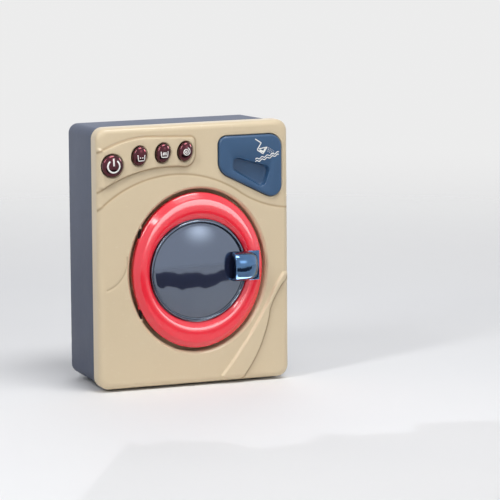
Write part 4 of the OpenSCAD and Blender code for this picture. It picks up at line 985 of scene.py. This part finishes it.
def makeDrawer():
    d = drawer
    r, w, floor = d["round"], d["trayWall"], d["gripFloor"]
    edge = [(r * (math.cos(a) - 1), d["front"] + r * (1 - math.sin(a)))
            for a in np.linspace(0, math.pi / 2, 9)]
    panel = flared("drawer_front", lambda grow: band(face["drawerCorners"], grow, 14),
                   [(-0.5, d["back"]), (0, d["back"] - 0.4)] + edge)
    tray = block("tray", d["trayX"], (d["back"] - 1, d["trayEnd"]), d["trayZ"])
    softEdges(tray, 0.6)
    cut(tray, block("hollow", (d["trayX"][0] + w, d["trayX"][1] - w), (d["back"], d["trayEnd"] - w),
                    (d["trayZ"][0] + w, d["trayZ"][1] + 2)))
    carve(panel, "UNION", tray)
    cut(panel, flared("pocket", lambda grow: band(d["gripCorners"], grow, 12), [
        (0.9, -3), (0.89, -1.51), (0.6, -1.42), (0.25, -1.15), (0.05, -0.7), (0, -0.2), (-0.35, floor - 1.6),
        (-0.8, floor - 0.6), (-1.5, floor - 0.1), (-2, floor)]))
    finishPiece(panel, "drawer", "blue_plastic", "drawer", angle=30)


# Plain pictogram: a scoop that pours powder over two waves of water
def makeDrawerMark():
    p = powder

    def flat(x, z):
        return drawer["front"]

    def wavePoint(share, lift):
        ripple = p["waveHeight"] * math.sin(2 * math.pi * p["waveTurns"] * share)
        return p["waveX"] + p["waveRun"] * share, p["waveZ"] + lift + p["waveClimb"] * share + ripple

    lines = [inlay("line", dense(p["scoop"], 0.8), p["line"], flat),
             inlay("line", dense(p["heap"], 0.6), p["heapLine"], flat, raised=0.1)]
    for i in range(4):
        for j in range(3):
            x, z = p["grainX"] + 1.35 * i - 0.35 * j, p["grainZ"] - 0.85 * i - 1.25 * j
            ends = [(x - p["grainHalf"], z), (x + p["grainHalf"], z)]
            lines.append(inlay("grain", ends, p["grainLine"], flat))
    for lift in (0, p["wavesApart"]):
        wave = [wavePoint(share, lift) for share in np.linspace(0, 1, 60)]
        lines.append(inlay("wave", wave, p["waveLine"], flat))
    finishPiece(joined("drawer_mark", lines), "drawer", "ink")


makeDrawer()
makeDrawerMark()
print("drawer made")

rear = dict(halfW=77.5, low=3.5, high=203.5, taper=2, corner=7.5, cornerShrink=0.8, start=14, end=78,
            roundBack=3, wall=2.2, lip=(11, 17), lipInset=0.9, lipRoom=3.1, bayMidZ=157, bayHalf=(29, 24.6),
            bayFront=60.2, ledge=2.5, coverT=2, coverGap=0.2, earHalf=7, screwZ=186.6, seat=23, postR=3.75,
            holeR=1.5, headR=2.9, lidPostR=3.4, footIn=22, footR=2.55)
speaker = dict(x=-46, z=38, radius=14, pegX=17.4, pegs=(74.2, 76.5), pegR=2.4, rim=3, slitR=0.7)
vent = dict(count=9, start=20, step=5.2, z=(88, 116), radius=1.1, deep=0.9)
cover = dict(ribs=9, ribTop=4, ribStep=3.4, ribIn=5, ribR=0.6, ribDeep=0.5, thumbHalf=8, thumbUp=7.5,
             thumbR=4, thumbDeep=0.8, screwR=1.1, headR=2.1)


def rearSection(depth, inset):
    r = rear
    share = within((depth - r["start"]) / (r["end"] - r["roundBack"] - r["start"]))
    corner = r["corner"] - r["cornerShrink"] * inset
    halfW = r["halfW"] - r["taper"] * share - inset - corner
    low = overFloor(r["low"] + inset + corner)
    high = overFloor(r["high"] - r["taper"] * share - inset - corner)
    circles = [(caseMidX + side * halfW, z, corner)
               for side, z in ((1, low), (1, high), (-1, high), (-1, low))]
    return places(band(circles), depth)


def rearForm(name, sections):
    return loft(name, [rearSection(depth, inset) for depth, inset in sections])


def rearBay(name, grow, depths):
    halfW, halfH = (half + grow for half in rear["bayHalf"])
    middle = overFloor(rear["bayMidZ"])
    return block(name, (caseMidX - halfW, caseMidX + halfW), depths, (middle - halfH, middle + halfH))


# Ear of the battery cover, round its screw
def lidEar(half, depths):
    corners = boxCorners(caseMidX, overFloor(rear["screwZ"] - 1), half, half, 4)
    return prism("ear", band(corners, 0, 8), depths)


def makeRearShell():
    r = rear
    start, end, wall, q = r["start"], r["end"], r["wall"], r["roundBack"]
    sections = [(depth, 0) for depth in (start, start + 0.3, 30, 50, end - q)]
    sections += [(end - q + q * math.sin(a), q * (1 - math.cos(a)))
                 for a in np.linspace(0, math.pi / 2, 9)[1:]]
    shell = rearForm("rear_shell_skin", sections)
    cut(shell, rearForm("inside", [(start - 1, wall), (50, wall), (end - wall - 1.5, wall),
                                   (end - wall - 0.5, wall + 0.4), (end - wall, wall + 1.5)]))
    lipStart, lipEnd = r["lip"]
    lip = rearForm("lip", [(lipStart, 1.1), (lipStart + 0.4, r["lipInset"]), (lipEnd, r["lipInset"])])
    cut(lip, rearForm("lipRoom", [(lipStart - 1, r["lipRoom"]), (lipEnd + 1, r["lipRoom"])]))
    carve(shell, "UNION", lip)
    lidFront = end - r["coverT"]
    carve(shell, "UNION", rearBay("bay", wall, (r["bayFront"] - wall, end - 1)),
          rearBay("ledge", r["ledge"] + wall, (lidFront - wall - face["slack"], end - 1)))
    posts = [rod("post", x, z, (start + 0.02, end - 1.1), r["postR"], 28) for x, z in screwsAt]
    posts.append(rod("post", caseMidX, overFloor(r["screwZ"]), (end - 12, end - 1), r["lidPostR"], 28))
    speakerX, speakerZ = caseMidX + speaker["x"], overFloor(speaker["z"])
    posts += [rod("peg", speakerX + side * speaker["pegX"], speakerZ, speaker["pegs"], speaker["pegR"], 28)
              for side in (-1, 1)]
    add(shell, *posts)
    cut(shell, *[rod("hole", x, z, (start - 1, r["seat"] + 1), r["holeR"], 28) for x, z in screwsAt])
    cut(shell, *[rod("head", x, z, (r["seat"], end + 1), r["headR"], 28) for x, z in screwsAt])
    pocket = rearBay("pocket", 0, (r["bayFront"], end + 0.5))
    gap = r["coverGap"]
    carve(pocket, "UNION", rearBay("seat", r["ledge"] + gap, (lidFront - gap, end + 1)),
          lidEar(r["earHalf"] + gap, (lidFront - gap, end + 0.9)))
    cut(shell, pocket)
    grooves = []
    for i in range(-3, 4):
        x = i * speaker["radius"] / 5
        half = math.sqrt((speaker["radius"] - speaker["rim"]) ** 2 - x ** 2) - speaker["slitR"]
        ends = [(speakerX + x, speakerZ + side * half, speaker["slitR"]) for side in (-1, 1)]
        grooves.append(prism("slit", band(ends, 0, 8), (end - 4, end + 1)))
    for side in (-1, 1):
        for i in range(vent["count"]):
            x = caseMidX + side * (vent["start"] + vent["step"] * i)
            ends = [(x, overFloor(z), vent["radius"]) for z in vent["z"]]
            grooves.append(prism("vent", band(ends, 0, 8), (end - vent["deep"], end + 1)))
    cut(shell, *grooves)
    low, footX = overFloor(r["low"]), caseW / 2 - r["footIn"]
    cut(shell, *[upright("footHole", caseMidX + side * footX, depth, (low - 1, low + 4), r["footR"])
                 for side in (-1, 1) for depth in (face["depth"] + 9, end - 12)])
    finishPiece(shell, "case", "navy_plastic", "rear_shell", angle=32)


# Battery cover: a ribbed lid with an ear for its screw and a thumb grip
def makeBatteryCover():
    r, c = rear, cover
    bayW, bayH = r["bayHalf"]
    front, back = r["end"] - r["coverT"], r["end"] - r["coverGap"]
    lid = rearBay("battery_lid", r["ledge"], (front, back))
    carve(lid, "UNION", lidEar(r["earHalf"], (front, back)))
    softEdges(lid, 0.35)
    grooves = []
    for i in range(c["ribs"]):
        z = overFloor(r["bayMidZ"] + bayH - c["ribTop"] - c["ribStep"] * i)
        ends = [(caseMidX + side * (bayW - c["ribIn"]), z, c["ribR"]) for side in (1, -1)]
        grooves.append(prism("groove", band(ends, 0, 8), (back - c["ribDeep"], back + 1)))
    thumbZ = overFloor(r["bayMidZ"] - bayH + c["thumbUp"])
    thumb = [(caseMidX + side * c["thumbHalf"], thumbZ, c["thumbR"]) for side in (1, -1)]
    grooves.append(prism("thumb", band(thumb, 0, 12), (back - c["thumbDeep"], back + 1)))
    cut(lid, *grooves)
    for deep, radius in ((4, c["screwR"]), (1, c["headR"])):
        hole = (r["end"] - deep, r["end"] + 1)
        cut(lid, rod("hole", caseMidX, overFloor(r["screwZ"]), hole, radius, 28))
    finishPiece(lid, "case", "navy_plastic", "battery_cover", angle=32)


makeRearShell()
makeBatteryCover()
print("rear casing made")


view = dict(azimuth=-22, elevation=8.6, roll=0.4, distance=2.8, pixelsPerMm=1.291, doorPixel=(198.4, 270.4),
            picture=500, farthest=100)


# The photograph's viewing angle, with the door's centre at its place in the picture
def makeCamera():
    azimuth, elevation, roll = (math.radians(view[key]) for key in ("azimuth", "elevation", "roll"))
    level = math.cos(elevation)
    back = Vector((math.sin(azimuth) * level, -math.cos(azimuth) * level, math.sin(elevation)))
    turn = (-back).to_track_quat("-Z", "Y")
    right, up = turn @ Vector((1, 0, 0)), turn @ Vector((0, 1, 0))
    right, up = right * math.cos(roll) - up * math.sin(roll), up * math.cos(roll) + right * math.sin(roll)
    half, perPixel = view["picture"] / 2, mm / view["pixelsPerMm"]
    across, down = ((half - pixel) * perPixel for pixel in view["doorPixel"])
    data = bpy.data.cameras.new("studioCamera")
    camera = bpy.data.objects.new("studioCamera", data)
    bpy.context.collection.objects.link(camera)
    data.lens = data.sensor_width * view["distance"] / (view["picture"] * perPixel)
    data.clip_end = view["farthest"]
    pose = Matrix((right, up, right.cross(up))).transposed().to_4x4()
    pose.translation = at(0, 0, 0) + right * across - up * down + back * view["distance"]
    camera.matrix_world = pose
    bpy.context.scene.camera = camera


# Lamps with a list of pieces reach nothing else: they are small reflections on the ring, pull and caps
lamps = {
    "topSoftbox": dict(place=(0.12, -0.45, 1.2), size=(0.6, 0.4), power=8),
    "leftStrip": dict(place=(-0.98, -0.55, 0.98), size=(0.16, 0.7), power=6.5),
    "frontFill": dict(place=(0.5, -1.7, 0.9), size=(1.1, 0.8), power=5.6, mirrored=False),
    "ringGlow": dict(place=(0.56, -1.39, 0.36), size=(1.4, 0.6), power=13, spread=0,
                     only=["door_ring_moulding"]),
    "ringStreak": dict(place=(-0.66, -1.04, 0.95), size=(0.3, 0.1), power=1.2, spread=0,
                       only=["door_ring_moulding"]),
    "pullGlow": dict(place=(0.045, -0.055, 0.012), size=(0.2, 0.035), power=0.22, spread=0,
                     only=["door_handle_grip"]),
    "capGlow": dict(place=(1.2, -0.35, 0.68), size=(0.14, 0.4), power=7, spread=0,
                    only=["power_cap", "wash_cap", "rinse_cap", "spin_cap"]),
    "rearFill": dict(place=(0.6, 1.4, 0.9), size=(1.2, 0.8), power=7, mirrored=False),
}
lampAim = Vector((0, 0, 0.1))


def softbox(name, place, size, power, mirrored=True, spread=1.0, only=()):
    data = bpy.data.lights.new(name, "AREA")
    data.shape, data.size, data.size_y = "RECTANGLE", size[0], size[1]
    data.energy, data.diffuse_factor = power, spread
    lamp = bpy.data.objects.new(name, data)
    bpy.context.collection.objects.link(lamp)
    lamp.location = place
    lamp.rotation_euler = (lampAim - Vector(place)).to_track_quat("-Z", "Y").to_euler()
    lamp.visible_glossy, lamp.visible_camera = mirrored, False
    if only:
        lit = bpy.data.collections.new(name + "Lit")
        for piece in only:
            lit.objects.link(bpy.data.objects[piece])
        lamp.light_linking.receiver_collection = lit


floorLook = dict(size=12, solid=0.3, clear=1.5)


# The pale floor lets the pale background through with distance, so that no horizon shows
def makeFloor():
    clearSelection()
    bpy.ops.mesh.primitive_grid_add(x_subdivisions=8, y_subdivisions=8, size=floorLook["size"])
    floor = named("studioFloor")
    paint = Paint("floorPaint", Roughness=0.7)
    paint.set(Base_Color=paint.mix(paint.noise(3), colour(238, 238, 238), colour(230, 231, 233)))
    away = paint.node("ShaderNodeVectorMath", {"operation": "LENGTH"}, {0: paint.place}, "Value")
    share = paint.fade(away, floorLook["solid"], floorLook["clear"])
    solid, clear = Wire(paint, paint.surface.outputs[0]), paint.node("ShaderNodeBsdfTransparent")
    mixed = paint.node("ShaderNodeMixShader", {}, {0: share, 1: solid, 2: clear})
    paint.tree.links.new(mixed.socket, paint.tree.nodes["Material Output"].inputs[0])
    floor.data.materials.append(paint.material)


darkCard = dict(cells=60, start=-30, sweep=92, far=0.6, farRagged=0.14, near=0.23, nearGrow=0.18,
                nearRagged=0.045, lift=0.002)


# A dark card on the floor in front, seen only as the dark band in what is shiny
def makeDarkCard():
    d = darkCard
    clearSelection()
    bpy.ops.mesh.primitive_grid_add(x_subdivisions=d["cells"], y_subdivisions=1, size=2)
    card = named("darkCard")
    for vert in card.data.vertices:
        along, far = (vert.co.x + 1) / 2, vert.co.y > 0
        angle = math.radians(d["start"] + d["sweep"] * along)
        ragged = 0.5 * math.sin(8 * along) + 0.3 * math.sin(27 * along + 1) + 0.12 * math.sin(64 * along)
        near = d["near"] + d["nearGrow"] * along ** 2 + d["nearRagged"] * ragged
        away = d["far"] + d["farRagged"] * ragged if far else near
        vert.co = (away * math.sin(angle), -away * math.cos(angle), d["lift"])
    paint = Paint("cardPaint", Roughness=0.9)
    paint.set(Base_Color=paint.mix(paint.noise(9), colour(18, 18, 30), colour(40, 40, 58)))
    card.data.materials.append(paint.material)
    card.visible_camera = card.visible_diffuse = card.visible_shadow = card.visible_transmission = False


class Sky(Paint):
    def __init__(self, world):
        world.use_nodes = True
        self.tree = world.node_tree

    def glow(self, shade, strength):
        return self.node("ShaderNodeBackground", {}, {0: colour(*shade), 1: strength})


sky = dict(seen=0.88, ambient=0.26, mirror=1.2, spot=2.4, spotWidth=0.12, spotToward=(0.351, -0.868, 0.35))


# Seen directly the sky is plain and pale, mirrored it is brighter with a soft spot, and as light it is dim
def makeSky():
    world = bpy.data.worlds.new("studioWorld")
    bpy.context.scene.world = world
    air = Sky(world)
    toward = air.node("ShaderNodeTexCoord", output="Generated")
    sockets = {0: toward, 1: sky["spotToward"]}
    away = air.node("ShaderNodeVectorMath", {"operation": "DISTANCE"}, sockets, "Value")
    spot = air.fade(away, 3 * sky["spotWidth"], 0)
    path = air.tree.nodes.new("ShaderNodeLightPath")
    seen, glossy = Wire(air, path.outputs["Is Camera Ray"]), Wire(air, path.outputs["Is Glossy Ray"])
    mirror = air.glow((236, 240, 248), sky["mirror"] + sky["spot"] * spot * spot)
    ambient = air.glow((240, 240, 244), sky["ambient"])
    plain = air.glow((250, 250, 250), sky["seen"])
    unseen = air.node("ShaderNodeMixShader", {}, {0: glossy, 1: ambient, 2: mirror})
    mixed = air.node("ShaderNodeMixShader", {}, {0: seen, 1: unseen, 2: plain})
    air.tree.links.new(mixed.socket, air.tree.nodes["World Output"].inputs[0])


def makeStudio():
    makeFloor()
    makeDarkCard()
    for name, settings in lamps.items():
        softbox(name, **settings)
    makeSky()
    bpy.context.scene.view_settings.view_transform = "Standard"


makeCamera()
makeStudio()
print("studio made")
